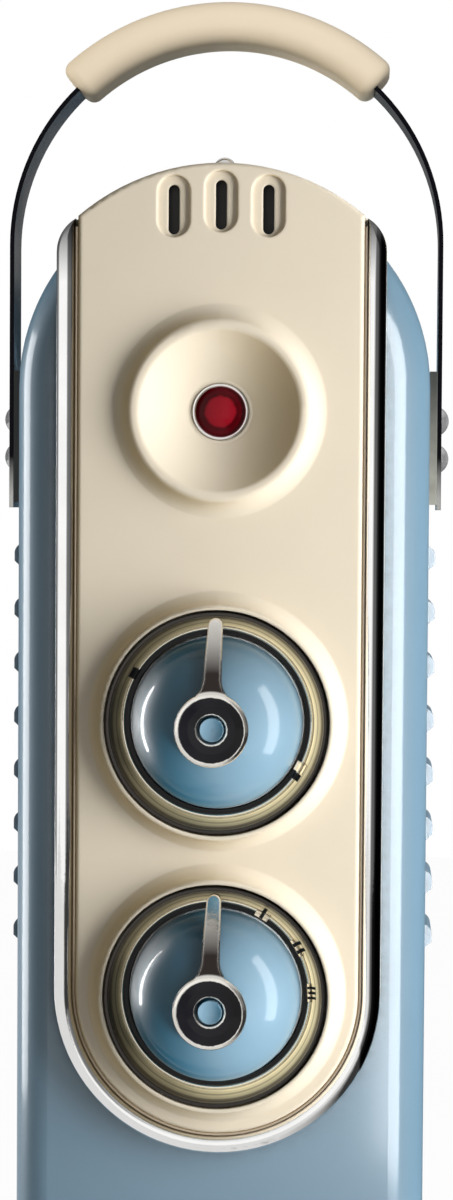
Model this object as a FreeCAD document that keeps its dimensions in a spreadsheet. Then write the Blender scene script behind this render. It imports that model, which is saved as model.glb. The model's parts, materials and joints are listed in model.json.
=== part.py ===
"""Oil-filled radiator: seven fins, a front control tower, a carrying hoop and four castors.

Lengths are in millimetres and angles in degrees. +Z is up, the controls look towards -Y and
the origin lies on the floor under the middle of the radiator. Each piece is drawn with its
depth counted from the front plane of the control panel, and its placement carries it back.
"""
import FreeCAD
import Part
import math
import os
import types
import Sketcher

Vector = FreeCAD.Vector

SIZES = (
    ("running", 0.05, "radial play of a turning shaft"),
    ("slip", 0.3, "gap between pieces that slide past each other"),
    ("cover_width", 151.6, "width of the front cover"),
    ("cover_depth", 48, "depth of the front cover"),
    ("cover_bottom", 62, "height of the cover's lower edge above the floor"),
    ("cover_wall", 1, "sheet thickness of the cover"),
    ("cover_round", 13, "rounding of the cover's front edge"),
    ("cover_corner", 24, "rounding of the cover's lower corners"),
    ("dome_height", 514.3, "height of the centre of the round top"),
    ("louvre_count", 8, "louvres on each side"),
    ("louvre_pitch", 20.1, "spacing of the louvres"),
    ("louvre_height", 18, "height of the strap's lower ends above the highest louvre"),
    ("louvre_rise", 9.5, "height of one louvre"),
    ("louvre_reach", 2.6, "how far a louvre stands out"),
    ("louvre_length", 25, "length of a louvre from front to back"),
    ("louvre_inset", 4, "distance of a louvre from the rear edge"),
    ("panel_width", 103, "width of the control panel"),
    ("panel_stand", 10, "panel face ahead of the cover"),
    ("panel_wall", 2.5, "wall of the panel moulding"),
    ("panel_round", 1.6, "rounding of the panel's front edge"),
    ("panel_over", 3.8, "panel top above the cover's round top"),
    ("skirt_depth", 29, "depth of the panel's top skirt"),
    ("flange_reach", 8, "panel flange beyond the panel's side"),
    ("flange_wall", 2, "thickness of the panel flange"),
    ("moulding_width", 6.9, "width of the chrome moulding"),
    ("moulding_rise", 8.8, "height of the chrome moulding"),
    ("moulding_gap", 1, "gap between the panel and the moulding"),
    ("moulding_round", 3.2, "rounding of the moulding's edges"),
    ("moulding_taper", 12, "length of the moulding's tapered upper ends"),
    ("upper_knob", 26.2, "gap between the lamp dish and the thermostat's collar"),
    ("lower_knob", 4.6, "gap between the collars of the two dials"),
    ("collar_base", 47, "radius of the collar at the panel face"),
    ("collar_lip", 42.4, "outer radius of the collar's rim"),
    ("collar_bore", 40.6, "inner radius of the collar"),
    ("collar_rise", 8, "height of the collar"),
    ("collar_sweep", 9, "radius of the collar's hollow flank"),
    ("recess_floor", 4, "depth of the recess floor behind the panel face"),
    ("ring_inner", 33.4, "inner radius of the dial ring"),
    ("ring_gap", 0.8, "gap between the collar and the dial ring"),
    ("ring_bead", 0.6, "radius of the bead on the dial ring's inner edge"),
    ("ring_lip", 0.6, "dial ring ahead of the collar"),
    ("ring_dish", 6.4, "depth of the dial ring's concave face"),
    ("knob_radius", 31.3, "radius of the knob's foot"),
    ("knob_foot", 2.4, "height of the knob's foot rim"),
    ("knob_top", 12.5, "radius of the knob's flat top"),
    ("knob_rise", 31, "knob top ahead of the panel face"),
    ("knob_dome", 30.65, "radius of the knob's domed side"),
    ("knob_wall", 2.4, "wall of the knob"),
    ("knob_boss", 7, "radius of the boss inside the knob"),
    ("pip_radius", 4.7, "radius of the knob's middle pip"),
    ("pip_rise", 3.2, "height of the knob's middle pip"),
    ("pip_dish", 1, "depth of the hollow in the knob's middle pip"),
    ("hub_radius", 13, "radius of the pointer's hub"),
    ("hub_bore", 5, "hole in the pointer's hub"),
    ("hub_rise", 5, "height of the pointer's hub"),
    ("pointer_reach", 38, "pointer tip from the axis"),
    ("pointer_tip", 2.65, "half width of the pointer's tip"),
    ("pointer_wall", 2.6, "thickness of the pointer's arm"),
    ("pointer_end", 13.5, "pointer tip ahead of the panel face"),
    ("pointer_bevel", 0.5, "bevel of the pointer's front edges"),
    ("shaft_radius", 3, "radius of a control shaft"),
    ("shaft_flat", 1.6, "flat of a control shaft from its axis"),
    ("shaft_end", 28, "depth of the shaft's inner end"),
    ("shaft_grip", 18, "length of shaft inside the knob"),
    ("bush_radius", 5, "radius of a threaded bush"),
    ("bush_reach", 6.4, "bush ahead of the cover"),
    ("nut_flats", 14, "width across flats of a bush nut"),
    ("nut_rise", 3, "thickness of a bush nut"),
    ("lamp_height", 9.3, "pilot lamp below the centre of the round top"),
    ("dish_base", 38.5, "radius of the lamp dish at the panel face"),
    ("dish_crest", 31.4, "radius of the lamp dish's crest"),
    ("dish_rise", 6, "height of the lamp dish's crest"),
    ("dish_sweep", 8, "radius of the lamp dish's hollow flank"),
    ("dish_floor", 5, "depth of the lamp dish's floor"),
    ("lens_radius", 8.8, "radius of the lamp lens"),
    ("lens_dome", 2.2, "rise of the lamp lens"),
    ("bezel_wall", 1.4, "width of the lamp bezel"),
    ("vent_pitch", 17, "spacing of the vents"),
    ("vent_height", 7.85, "height of the panel's top above the outer vents"),
    ("vent_step", 1.7, "middle vent above the outer vents"),
    ("vent_width", 4, "width of a vent slot"),
    ("vent_length", 17.7, "length of a vent slot"),
    ("scoop_width", 11.6, "width of the hollow round a vent"),
    ("scoop_length", 22, "length of the hollow round a vent"),
    ("scoop_depth", 1.7, "depth of the hollow round a vent"),
    ("scoop_lift", 1.2, "middle of the hollow above the middle of its vent"),
    ("scoop_round", 0.6, "rounding of the hollow's rim"),
    ("strap_width", 18, "width of the handle strap"),
    ("strap_wall", 1.6, "thickness of the handle strap"),
    ("strap_front", 27, "depth of the strap's front edge"),
    ("strap_foot", 44.3, "strap's lower ends below the centre of the round top"),
    ("hoop_height", 53.2, "height of the hoop's centre above that of the round top"),
    ("pad_wall", 2.8, "thickness of a handle pad"),
    ("pad_foot", 2, "height of a pad's lower edge above the strap's end"),
    ("pad_rise", 49, "length of a handle pad"),
    ("grip_angle", 87.4, "angle that the grip spans"),
    ("grip_thick", 15.5, "radial thickness of the grip"),
    ("grip_crown", 9.1, "grip above the strap"),
    ("grip_depth", 26, "depth of the grip from front to back"),
    ("grip_round", 7, "rounding of the grip"),
    ("grip_end", 4, "rounding of the grip's ends"),
    ("handle_screw_low", 19, "height of the lower handle screws above the strap's ends"),
    ("handle_screw_pitch", 14, "spacing of the handle screws"),
    ("handle_screw", 2, "radius of a handle screw"),
    ("handle_head", 5, "radius of a handle screw's head"),
    ("handle_dome", 2.9, "rise of a handle screw's head"),
    ("shield_wall", 1.2, "thickness of the heat shield"),
    ("fin_count", 7, "number of fins"),
    ("fin_pitch", 40, "spacing of the fins"),
    ("fin_width", 148, "width of a fin"),
    ("fin_bottom", 68, "height of a fin's lower edge"),
    ("fin_corner", 34, "rounding of a fin's lower corners"),
    ("fin_plate", 1.6, "thickness of a fin's welded rim"),
    ("fin_flange", 17, "depth of a fin's folded edge"),
    ("flange_foot", 108, "height of the lower end of a folded edge"),
    ("channel_depth", 9, "thickness of a fin over its oil channels"),
    ("channel_foot", 30, "width of an oil channel at the plate"),
    ("channel_crown", 20, "width of an oil channel's crown"),
    ("channel_pitch", 35, "spacing of the oil channels"),
    ("oil_wall", 1.1, "sheet thickness round the oil"),
    ("gallery_low", 44, "height of the lower gallery above the fins' lower edge"),
    ("gallery_high", 15.7, "height of the upper gallery above the centre of the round top"),
    ("gallery_radius", 22, "outer radius of a gallery"),
    ("gallery_bore", 14, "bore of a gallery"),
    ("header_rise", 44, "height of a header across the channels"),
    ("plug_radius", 20, "radius of a gallery plug's flange"),
    ("plug_wall", 5, "thickness of a gallery plug's flange"),
    ("plug_spigot", 12, "length of a gallery plug's spigot"),
    ("plug_flats", 30, "width across flats of a gallery plug"),
    ("gasket_wall", 1.2, "thickness of the heater gasket"),
    ("element_radius", 3.3, "radius of a heater tube"),
    ("element_bend", 6, "bend radius of a heater tube"),
    ("element_lift", 4.6, "height of a heater tube from the gallery's axis"),
    ("element_tail", 16, "heater tube ahead of its plug"),
    ("cap_wall", 2, "thickness of a rear gallery cap"),
    ("cutout_height", 190, "height of the thermal cut-out"),
    ("cutout_radius", 8, "radius of the thermal cut-out"),
    ("outlet_depth", 34, "depth of the cord outlet"),
    ("outlet_width", 36, "width of the cord outlet's plate"),
    ("outlet_length", 24, "length of the cord outlet's plate"),
    ("outlet_lip", 3, "rim of the cord outlet's plate"),
    ("outlet_wall", 2, "thickness of the outlet plate's rim"),
    ("gland_bore", 3.7, "bore of the cord gland"),
    ("gland_radius", 6, "outer radius of the cord gland"),
    ("gland_drop", 12, "cord gland below its plate"),
    ("foot_width", 230, "length of a foot bar"),
    ("foot_depth", 46, "width of a foot bar from front to back"),
    ("foot_rise", 14, "height of a foot bar"),
    ("foot_wall", 2, "wall of a foot bar"),
    ("rod_radius", 2.5, "radius of a clamping rod"),
    ("castor_inset", 23, "castor pivot from the foot bar's end"),
    ("stem_radius", 4, "radius of a castor stem"),
    ("stem_rise", 10, "height of a castor stem"),
    ("wheel_radius", 20, "radius of a castor wheel"),
    ("wheel_width", 18, "width of a castor wheel"),
    ("wheel_trail", 14, "trail of a castor wheel behind its pivot"),
    ("axle_radius", 3, "radius of a castor axle"),
    ("fork_wall", 3, "thickness of a fork's cheek"),
    ("wheel_play", 0.5, "gap between a wheel and its fork"),
)

PLANES = {"front": ("XZ_Plane", -1), "plan": ("XY_Plane", 1), "side": ("YZ_Plane", 1)}
TURNS = {
    "x": FreeCAD.Rotation(Vector(0, 1, 0), 90),
    "y": FreeCAD.Rotation(Vector(1, 0, 0), -90),
    "z": FreeCAD.Rotation(),
}
CORNERS = {"fl": (-1, 0), "fr": (1, 0), "rl": (-1, 1), "rr": (1, 1)}


class Size:
    """A number together with the spreadsheet expression that works it out."""

    def __init__(self, value, text):
        self.value = float(value)
        self.text = text

    def __add__(self, other):
        other = as_size(other)
        return Size(self.value + other.value, f"({self.text} + {other.text})")

    def __sub__(self, other):
        other = as_size(other)
        return Size(self.value - other.value, f"({self.text} - {other.text})")

    def __mul__(self, other):
        other = as_size(other)
        return Size(self.value * other.value, f"({self.text} * {other.text})")

    def __truediv__(self, other):
        other = as_size(other)
        return Size(self.value / other.value, f"({self.text} / {other.text})")

    def __neg__(self):
        return Size(-self.value, f"(-{self.text})")

    def __radd__(self, other):
        return as_size(other) + self

    def __rsub__(self, other):
        return as_size(other) - self

    def __rmul__(self, other):
        return as_size(other) * self


def as_size(number):
    """Give a plain number the same form as a named size."""
    if isinstance(number, Size):
        return number
    return Size(number, f"({number})")


def root(size):
    """Square root of a size."""
    return Size(math.sqrt(size.value), f"sqrt({size.text})")


def leg(hypotenuse, side):
    """Third side of a right-angled triangle."""
    return root(hypotenuse * hypotenuse - side * side)


def make_sheet(doc):
    """Write the driving dimensions into a spreadsheet and return them by name."""
    sheet = doc.addObject("Spreadsheet::Sheet", "Sizes")
    for row, (name, value, note) in enumerate(SIZES, start=1):
        sheet.set(f"A{row}", name)
        sheet.set(f"B{row}", str(value))
        sheet.set(f"C{row}", note)
        sheet.setAlias(f"B{row}", name)
    doc.recompute()
    return types.SimpleNamespace(**{name: Size(value, f"Sizes.{name}") for name, value, _ in SIZES})


def bind(target, prop, size):
    """Set a property to a size and tie it to the spreadsheet."""
    size = as_size(size)
    target.setExpression(prop, size.text)


def place(target, x=0, y=0, z=0, turn=None):
    """Put a piece at a position that follows the spreadsheet."""
    spot = [as_size(value) for value in (x, y, z)]
    target.Placement = FreeCAD.Placement(Vector(*[s.value for s in spot]), turn or FreeCAD.Rotation())
    for axis, size in zip("xyz", spot):
        bind(target, f"Placement.Base.{axis}", size)
    return target


def new_body(doc, name):
    """Start a piece of its own."""
    body = doc.addObject("PartDesign::Body", name)
    body.Label = name
    return body


def sketch(body, name, plane, level=0):
    """Start a sketch on a plane of the body, at a signed level along the world axis."""
    role, sign = PLANES[plane]
    drawing = body.newObject("Sketcher::SketchObject", name)
    base = next(item for item in body.Origin.OriginFeatures if item.Role == role)
    drawing.AttachmentSupport = (base, [""])
    drawing.MapMode = "FlatFace"
    level = as_size(level) * sign
    drawing.AttachmentOffset = FreeCAD.Placement(Vector(0, 0, level.value), FreeCAD.Rotation())
    bind(drawing, "AttachmentOffset.Base.z", level)
    return drawing


def constrain(drawing, rules):
    """Add constraints and tie those that carry a size to the spreadsheet."""
    first = drawing.ConstraintCount
    drawing.addConstraint([rule for rule, _ in rules])
    for index, (_, size) in enumerate(rules, start=first):
        if size is not None:
            bind(drawing, f"Constraints[{index}]", size)


def pin(geometry, point, u, v):
    """Fix one point of a sketch at two sizes."""
    return [
        (Sketcher.Constraint("DistanceX", -1, 1, geometry, point, u.value), u),
        (Sketcher.Constraint("DistanceY", -1, 1, geometry, point, v.value), v),
    ]


def arc_between(start, end, radius):
    """Arc of less than half a turn; a positive radius turns left on the way."""
    middle = (start + end) / 2
    chord = end - start
    rise = math.sqrt(max(radius * radius - chord.Length ** 2 / 4, 0))
    left = Vector(-chord.y, chord.x, 0).normalize()
    centre = middle + left * (rise if radius > 0 else -rise)
    circle = Part.Circle(centre, Vector(0, 0, 1), abs(radius))
    first, last = (start, end) if radius > 0 else (end, start)
    angles = [math.atan2(spot.y - centre.y, spot.x - centre.x) for spot in (first, last)]
    return Part.ArcOfCircle(circle, *angles)


def outline(drawing, corners):
    """Draw a closed outline.

    A corner's third value is the radius of the arc that leads to it. An outline that closes
    with an arc ends on its first corner once more.
    """
    base = drawing.GeometryCount
    spots = [(as_size(corner[0]), as_size(corner[1])) for corner in corners]
    radii = [as_size(corner[2]) if len(corner) > 2 else None for corner in corners]
    if radii[-1] is not None and all(abs(a.value - b.value) < 1e-9 for a, b in zip(spots[0], spots[-1])):
        radii[0] = radii.pop()
        spots.pop()
    count = len(spots)
    shapes = []
    ends = []
    for index in range(count):
        following = (index + 1) % count
        start = Vector(spots[index][0].value, spots[index][1].value, 0)
        end = Vector(spots[following][0].value, spots[following][1].value, 0)
        radius = radii[following]
        if radius is None:
            shapes.append(Part.LineSegment(start, end))
        else:
            shapes.append(arc_between(start, end, radius.value))
        ends.append((2, 1) if radius is not None and radius.value < 0 else (1, 2))
    drawing.addGeometry(shapes, False)
    rules = []
    for index in range(count):
        following = (index + 1) % count
        joint = (base + index, ends[index][1], base + following, ends[following][0])
        rules.append((Sketcher.Constraint("Coincident", *joint), None))
        rules += pin(base + index, ends[index][0], *spots[index])
        radius = radii[following]
        if radius is not None:
            radius = radius if radius.value > 0 else -radius
            rules.append((Sketcher.Constraint("Radius", base + index, radius.value), radius))
    constrain(drawing, rules)


def circle(drawing, u, v, radius):
    """Draw a circle."""
    u, v, radius = as_size(u), as_size(v), as_size(radius)
    index = drawing.GeometryCount
    drawing.addGeometry(Part.Circle(Vector(u.value, v.value, 0), Vector(0, 0, 1), radius.value), False)
    constrain(drawing, pin(index, 3, u, v) + [(Sketcher.Constraint("Radius", index, radius.value), radius)])


def box_outline(drawing, left, right, low, high):
    """Draw a rectangle."""
    outline(drawing, [(left, low), (right, low), (right, high), (left, high)])


def slot_outline(drawing, u, v, width, length):
    """Draw an upright slot with round ends."""
    half = width / 2
    low = v - length / 2 + half
    high = v + length / 2 - half
    outline(drawing, [
        (u + half, low), (u + half, high), (u, high + half, half), (u - half, high, half),
        (u - half, low), (u, low - half, half), (u + half, low, half),
    ])


def feature(body, kind, name, drawing, prop=None, size=None):
    """Add a feature made from a sketch."""
    item = body.newObject(f"PartDesign::{kind}", name)
    item.Profile = drawing
    if prop:
        bind(item, prop, size)
    return item


def pad(body, name, drawing, length, both=False):
    """Add material along the sketch's normal, or to both sides of it."""
    item = feature(body, "Pad", name, drawing, "Length", length)
    if both:
        item.SideType = "Symmetric"
    return item


def pocket(body, name, drawing, length, both=False):
    """Cut against the sketch's normal, or to both sides of it."""
    item = feature(body, "Pocket", name, drawing, "Length", length)
    if both:
        item.SideType = "Symmetric"
    return item


def spin(body, name, drawing, axis="H_Axis", cut=False):
    """Turn a profile all the way round, as material or as a cut."""
    item = feature(body, "Groove" if cut else "Revolution", name, drawing)
    item.ReferenceAxis = (drawing, [axis])
    item.Angle = 360
    return item


def axis_line(drawing, height):
    """Draw a turning axis along the sketch's first direction."""
    height = as_size(height)
    index = drawing.GeometryCount
    drawing.addGeometry(Part.LineSegment(Vector(0, height.value, 0), Vector(10, height.value, 0)), True)
    constrain(drawing, pin(index, 1, as_size(0), height) + pin(index, 2, as_size(10), height))
    return "Axis0"


def pattern(body, name, source, axis, count, length):
    """Repeat a feature along an axis of the body."""
    item = body.newObject("PartDesign::LinearPattern", name)
    item.Originals = [source]
    line = next(part for part in body.Origin.OriginFeatures if part.Role == axis)
    item.Direction = (line, [""])
    bind(item, "Length", length)
    bind(item, "Occurrences", count)
    body.Tip = item
    return item


def edges_at(shape, axis, level, keep=None):
    """Names of the edges that lie in one plane across an axis."""
    names = []
    for index, edge in enumerate(shape.Edges, start=1):
        bounds = edge.BoundBox
        low, high = {"x": (bounds.XMin, bounds.XMax), "y": (bounds.YMin, bounds.YMax),
                     "z": (bounds.ZMin, bounds.ZMax)}[axis]
        flat = abs(low - level) < 0.01 and abs(high - level) < 0.01
        if flat and (keep is None or keep(edge)):
            names.append(f"Edge{index}")
    return names


def fillet(body, name, base, edges, radius):
    """Round chosen edges of a feature."""
    item = body.newObject("PartDesign::Fillet", name)
    item.Base = (base, edges)
    bind(item, "Radius", radius)
    return item


def cylinder(doc, name, radius, length, axis, x=0, y=0, z=0):
    """Round bar that starts at a point and runs along an axis."""
    item = doc.addObject("Part::Cylinder", name)
    bind(item, "Radius", radius)
    bind(item, "Height", length)
    return place(item, x, y, z, TURNS[axis])


def block(doc, name, left, right, front, back, low, high):
    """Rectangular block between six levels."""
    item = doc.addObject("Part::Box", name)
    bind(item, "Length", as_size(right) - left)
    bind(item, "Width", as_size(back) - front)
    bind(item, "Height", as_size(high) - low)
    return place(item, left, front, low)


def prism(doc, name, flats, length, axis, x=0, y=0, z=0):
    """Six-sided bar given by its width across flats."""
    item = doc.addObject("Part::Prism", name)
    item.Polygon = 6
    bind(item, "Circumradius", flats / math.sqrt(3))
    bind(item, "Height", length)
    return place(item, x, y, z, TURNS[axis])


def fuse(doc, name, parts):
    """Join solids into one."""
    item = doc.addObject("Part::MultiFuse", name)
    item.Shapes = parts
    item.Label = name
    return item


def cut(doc, name, base, tool):
    """Take one solid away from another."""
    item = doc.addObject("Part::Cut", name)
    item.Base = base
    item.Tool = tool
    item.Label = name
    return item


def group(doc, name, parts):
    """Keep separate solids together as one piece."""
    item = doc.addObject("Part::Compound", name)
    item.Links = parts
    item.Label = name
    return item


def derive(s):
    """Work out the levels that follow from the driving dimensions."""
    s.cover_half = s.cover_width / 2
    s.cover_face = s.panel_stand
    s.cover_inside = s.cover_face + s.cover_wall
    s.cover_rear = s.cover_face + s.cover_depth
    s.panel_half = s.panel_width / 2
    s.panel_arc = s.cover_half + s.panel_over
    s.flange_half = s.panel_half + s.flange_reach
    s.flange_face = s.panel_stand - s.flange_wall
    s.knob_front = s.knob_rise + s.hub_rise
    s.strap_middle = s.strap_front + s.strap_width / 2
    s.strap_inner = s.cover_half + s.pad_wall
    s.strap_outer = s.strap_inner + s.strap_wall
    s.shield_rear = s.cover_rear + s.shield_wall
    s.stack_rear = s.shield_rear + s.fin_pitch * s.fin_count
    s.rear = s.stack_rear + s.cap_wall
    s.shift = (s.knob_front - s.rear) / 2
    s.castor_reach = s.foot_width / 2 - s.castor_inset
    s.foot_top = s.fin_bottom
    s.foot_low = s.foot_top - s.foot_rise
    s.fork_top = s.foot_low - s.slip
    s.foot_levels = (s.shield_rear + s.fin_pitch, s.stack_rear - s.fin_pitch)
    s.lens_seat = s.dish_floor + 4
    return set_heights(s)


def set_heights(s):
    """Turn the sizes that are counted from another piece into heights above the floor."""
    s.lamp_height = s.dome_height - s.lamp_height
    s.upper_knob = s.lamp_height - s.dish_base - s.upper_knob - s.collar_base
    s.lower_knob = s.upper_knob - 2 * s.collar_base - s.lower_knob
    s.vent_height = s.dome_height + s.panel_arc - s.vent_height - s.vent_length / 2
    s.hoop_height = s.dome_height + s.hoop_height
    s.strap_foot = s.dome_height - s.strap_foot
    s.pad_foot = s.strap_foot + s.pad_foot
    s.handle_screw_low = s.strap_foot + s.handle_screw_low
    s.louvre_height = s.strap_foot - s.louvre_height - s.louvre_pitch * (s.louvre_count - 1)
    s.gallery_low = s.fin_bottom + s.gallery_low
    s.gallery_high = s.dome_height + s.gallery_high
    return s


def tombstone(drawing, half, low, centre, corner):
    """Draw an upright outline with a round top and rounded lower corners."""
    outline(drawing, [
        (corner - half, low), (half - corner, low), (half, low + corner, corner), (half, centre),
        (0, centre + half, half), (-half, centre, half), (-half, low + corner), (corner - half, low, corner),
    ])


def fascia(drawing, half, low_centre, arc, arc_centre):
    """Draw the control panel's outline: a shallow arc on top and a half circle below."""
    shoulder = arc_centre + leg(arc, half)
    outline(drawing, [
        (half, low_centre), (half, shoulder), (0, arc_centre + arc, arc), (-half, shoulder, arc),
        (-half, low_centre), (0, low_centre - half, half), (half, low_centre, half),
    ])


def taper_arc(length, width):
    """Radius of an arc that leaves a straight side smoothly and ends a length on and a width in."""
    return (length * length + width * width) / (2 * width)


def make_cover(doc, s):
    """Front cover: a drawn steel shell with louvred sides, open at the back."""
    body = new_body(doc, "front_cover")
    add_tub(doc, s, body, "cover", as_size(0))
    inside = new_body(doc, "cover_inside")
    add_tub(doc, s, inside, "inside", s.cover_wall)
    hollow = body.newObject("PartDesign::Boolean", "cover_hollow")
    hollow.Type = "Cut"
    hollow.setObjects([inside])
    body.Tip = hollow
    add_louvres(body, s)
    drawing = sketch(body, "cover_front_holes", "front", s.cover_face - 1)
    for height in (s.upper_knob, s.lower_knob):
        circle(drawing, 0, height, s.bush_radius + s.slip)
    circle(drawing, 0, s.lamp_height, s.lens_radius + s.bezel_wall + 2 * s.slip)
    for x, z in panel_screw_spots(s):
        circle(drawing, x, z, 2)
    pocket(body, "cover_front_cut", drawing, s.cover_wall + 2)
    drawing = sketch(body, "cover_vent_window", "front", s.cover_face - 1)
    half = s.vent_pitch + s.vent_width
    box_outline(drawing, -half, half, s.vent_height - s.vent_length, s.vent_height + s.vent_length / 4)
    pocket(body, "cover_vent_cut", drawing, s.cover_round)
    drawing = sketch(body, "cover_side_holes", "side")
    for step in range(2):
        circle(drawing, s.strap_middle, s.handle_screw_low + s.handle_screw_pitch * step, s.handle_screw + s.slip)
    pocket(body, "cover_side_cut", drawing, s.cover_width + 2, both=True)
    drawing = sketch(body, "cover_outlet_hole", "plan", s.cover_bottom + 4)
    half = s.outlet_width / 2
    box_outline(drawing, -half, half, s.outlet_depth - s.outlet_length / 2, s.outlet_depth + s.outlet_length / 2)
    pocket(body, "cover_outlet_cut", drawing, 6)
    drawing = sketch(body, "cover_top_hole", "plan", s.dome_height + s.cover_half + 2)
    circle(drawing, 0, top_screw_depth(s), 2 + s.slip)
    pocket(body, "cover_top_cut", drawing, 8)
    drawing = sketch(body, "cover_tabs", "front", s.cover_rear)
    for side in (-1, 1):
        for height in shield_screw_heights(s):
            edges = sorted([side * (s.cover_half - s.cover_wall / 2), side * (s.cover_half - 14)],
                           key=lambda size: size.value)
            box_outline(drawing, *edges, height - 8, height + 8)
    pad(body, "cover_tab_plates", drawing, 1.5)
    drawing = sketch(body, "cover_tab_holes", "front", s.cover_rear - 3)
    for x, z in shield_screw_spots(s):
        circle(drawing, x, z, 1.7)
    pocket(body, "cover_tab_cut", drawing, 4)
    return [place(body, 0, s.shift)]


def add_tub(doc, s, body, name, inset):
    """Block with a round top and a rounded front edge, smaller by an inset all round but at the back."""
    drawing = sketch(body, f"{name}_outline", "front", s.cover_rear)
    tombstone(drawing, s.cover_half - inset, s.cover_bottom + inset, s.dome_height, s.cover_corner - inset)
    base = pad(body, f"{name}_base", drawing, s.cover_depth - inset)
    doc.recompute()
    rim = edges_at(base.Shape, "y", s.cover_face.value + inset.value)
    fillet(body, f"{name}_rounding", base, rim, s.cover_round - inset)


def add_louvres(body, s):
    """Louvres pressed out of the cover's sides, open underneath."""
    wall = s.cover_half - s.cover_wall / 2
    out = s.cover_half + s.louvre_reach
    half = s.louvre_rise / 2
    z = s.louvre_height
    run = s.louvre_pitch * (s.louvre_count - 1)
    drawing = sketch(body, "louvre_outline", "front", s.cover_rear - s.louvre_inset)
    for side in (-1, 1):
        outline(drawing, [
            (side * wall, z - half), (side * out, z - half * 0.4), (side * out, z + half * 0.3),
            (side * wall, z + half, side * (s.louvre_reach + 1.3)),
        ])
    lip = pad(body, "louvre_lip", drawing, s.louvre_length)
    pattern(body, "louvre_lips", lip, "Z_Axis", s.louvre_count, run)
    drawing = sketch(body, "louvre_hollow", "front", s.cover_rear - s.louvre_inset - s.louvre_length + s.cover_wall)
    inner = s.cover_half - 2 * s.cover_wall
    skin = out - s.cover_wall
    for side in (-1, 1):
        outline(drawing, [
            (side * inner, z - half * 1.1), (side * (s.cover_half + s.louvre_reach / 3), z - half * 1.1),
            (side * skin, z - half * 0.5), (side * skin, z + half * 0.2),
            (side * s.cover_half, z + half * 0.65), (side * inner, z + half * 0.65),
        ])
    hollow = pocket(body, "louvre_cut", drawing, s.louvre_length - 2 * s.cover_wall)
    pattern(body, "louvre_cuts", hollow, "Z_Axis", s.louvre_count, run)


def panel_screw_spots(s):
    """Places of the screws that hold the control panel, as x and z."""
    middle = (s.upper_knob + s.lower_knob) / 2
    high = (s.upper_knob + s.collar_base + s.lamp_height - s.dish_base) / 2
    x = s.panel_half - s.panel_wall - 5
    return [(side * x, height) for height in (middle, high) for side in (-1, 1)]


def shield_screw_heights(s):
    """Heights of the screws that hold the heat shield to the cover."""
    return (s.cover_bottom + 90, s.dome_height - 60)


def shield_screw_spots(s):
    """Places of the screws that hold the heat shield, as x and z."""
    x = s.cover_half - 8
    return [(side * x, height) for height in shield_screw_heights(s) for side in (-1, 1)]


def top_screw_depth(s):
    """Depth of the screw through the panel's top skirt."""
    return s.skirt_depth - 8


def make_panel(doc, s):
    """Control panel: a hollow moulding with a flange, a top skirt, two collars and a lamp dish."""
    body = new_body(doc, "control_panel")
    shoulder = s.dome_height + leg(s.panel_arc, s.panel_half)
    fall = shoulder - s.moulding_taper
    drawing = sketch(body, "panel_flange_outline", "front", s.panel_stand)
    taper = taper_arc(s.moulding_taper, s.flange_reach)
    outline(drawing, [
        (s.flange_half, s.lower_knob), (s.flange_half, fall), (s.panel_half, shoulder, taper),
        (0, s.dome_height + s.panel_arc, s.panel_arc), (-s.panel_half, shoulder, s.panel_arc),
        (-s.flange_half, fall, taper), (-s.flange_half, s.lower_knob),
        (0, s.lower_knob - s.flange_half, s.flange_half), (s.flange_half, s.lower_knob, s.flange_half),
    ])
    pad(body, "panel_flange", drawing, s.flange_wall)
    drawing = sketch(body, "panel_outline", "front", s.panel_stand)
    fascia(drawing, s.panel_half, s.lower_knob, s.panel_arc, s.dome_height)
    face = pad(body, "panel_face", drawing, s.panel_stand)
    doc.recompute()
    rim = edges_at(face.Shape, "y", 0)
    fillet(body, "panel_rounding", face, rim, s.panel_round)
    drawing = sketch(body, "panel_hollow", "front", s.panel_stand)
    inner_arc = s.panel_arc - s.panel_wall
    fascia(drawing, s.panel_half - s.panel_wall, s.lower_knob, inner_arc, s.dome_height)
    hollow = pocket(body, "panel_hollow_cut", drawing, s.panel_stand - s.panel_wall)
    hollow.Reversed = True
    drawing = sketch(body, "panel_skirt_outline", "front", s.skirt_depth)
    inner_end = s.dome_height + leg(inner_arc, s.panel_half)
    outline(drawing, [
        (s.panel_half, inner_end), (s.panel_half, shoulder), (0, s.dome_height + s.panel_arc, s.panel_arc),
        (-s.panel_half, shoulder, s.panel_arc), (-s.panel_half, inner_end),
        (0, s.dome_height + inner_arc, -inner_arc), (s.panel_half, inner_end, -inner_arc),
    ])
    pad(body, "panel_skirt", drawing, s.skirt_depth - s.flange_face)
    for name, height in (("upper", s.upper_knob), ("lower", s.lower_knob)):
        add_collar(body, s, name, height)
    add_dish(body, s)
    add_vents(body, s)
    drawing = sketch(body, "panel_bosses", "front", s.panel_stand)
    for x, z in panel_screw_spots(s):
        circle(drawing, x, z, 4)
    pad(body, "panel_boss_pads", drawing, s.panel_stand - s.panel_wall / 2)
    drawing = sketch(body, "panel_boss_holes", "front", s.panel_wall)
    for x, z in panel_screw_spots(s):
        circle(drawing, x, z, 1.5)
    pocket(body, "panel_boss_cut", drawing, s.panel_stand)
    drawing = sketch(body, "panel_top_hole", "plan", s.dome_height + s.panel_arc + 2)
    circle(drawing, 0, top_screw_depth(s), 2 + s.slip)
    pocket(body, "panel_top_cut", drawing, 2 + 2 * s.panel_wall)
    return [place(body, 0, s.shift)]


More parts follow.
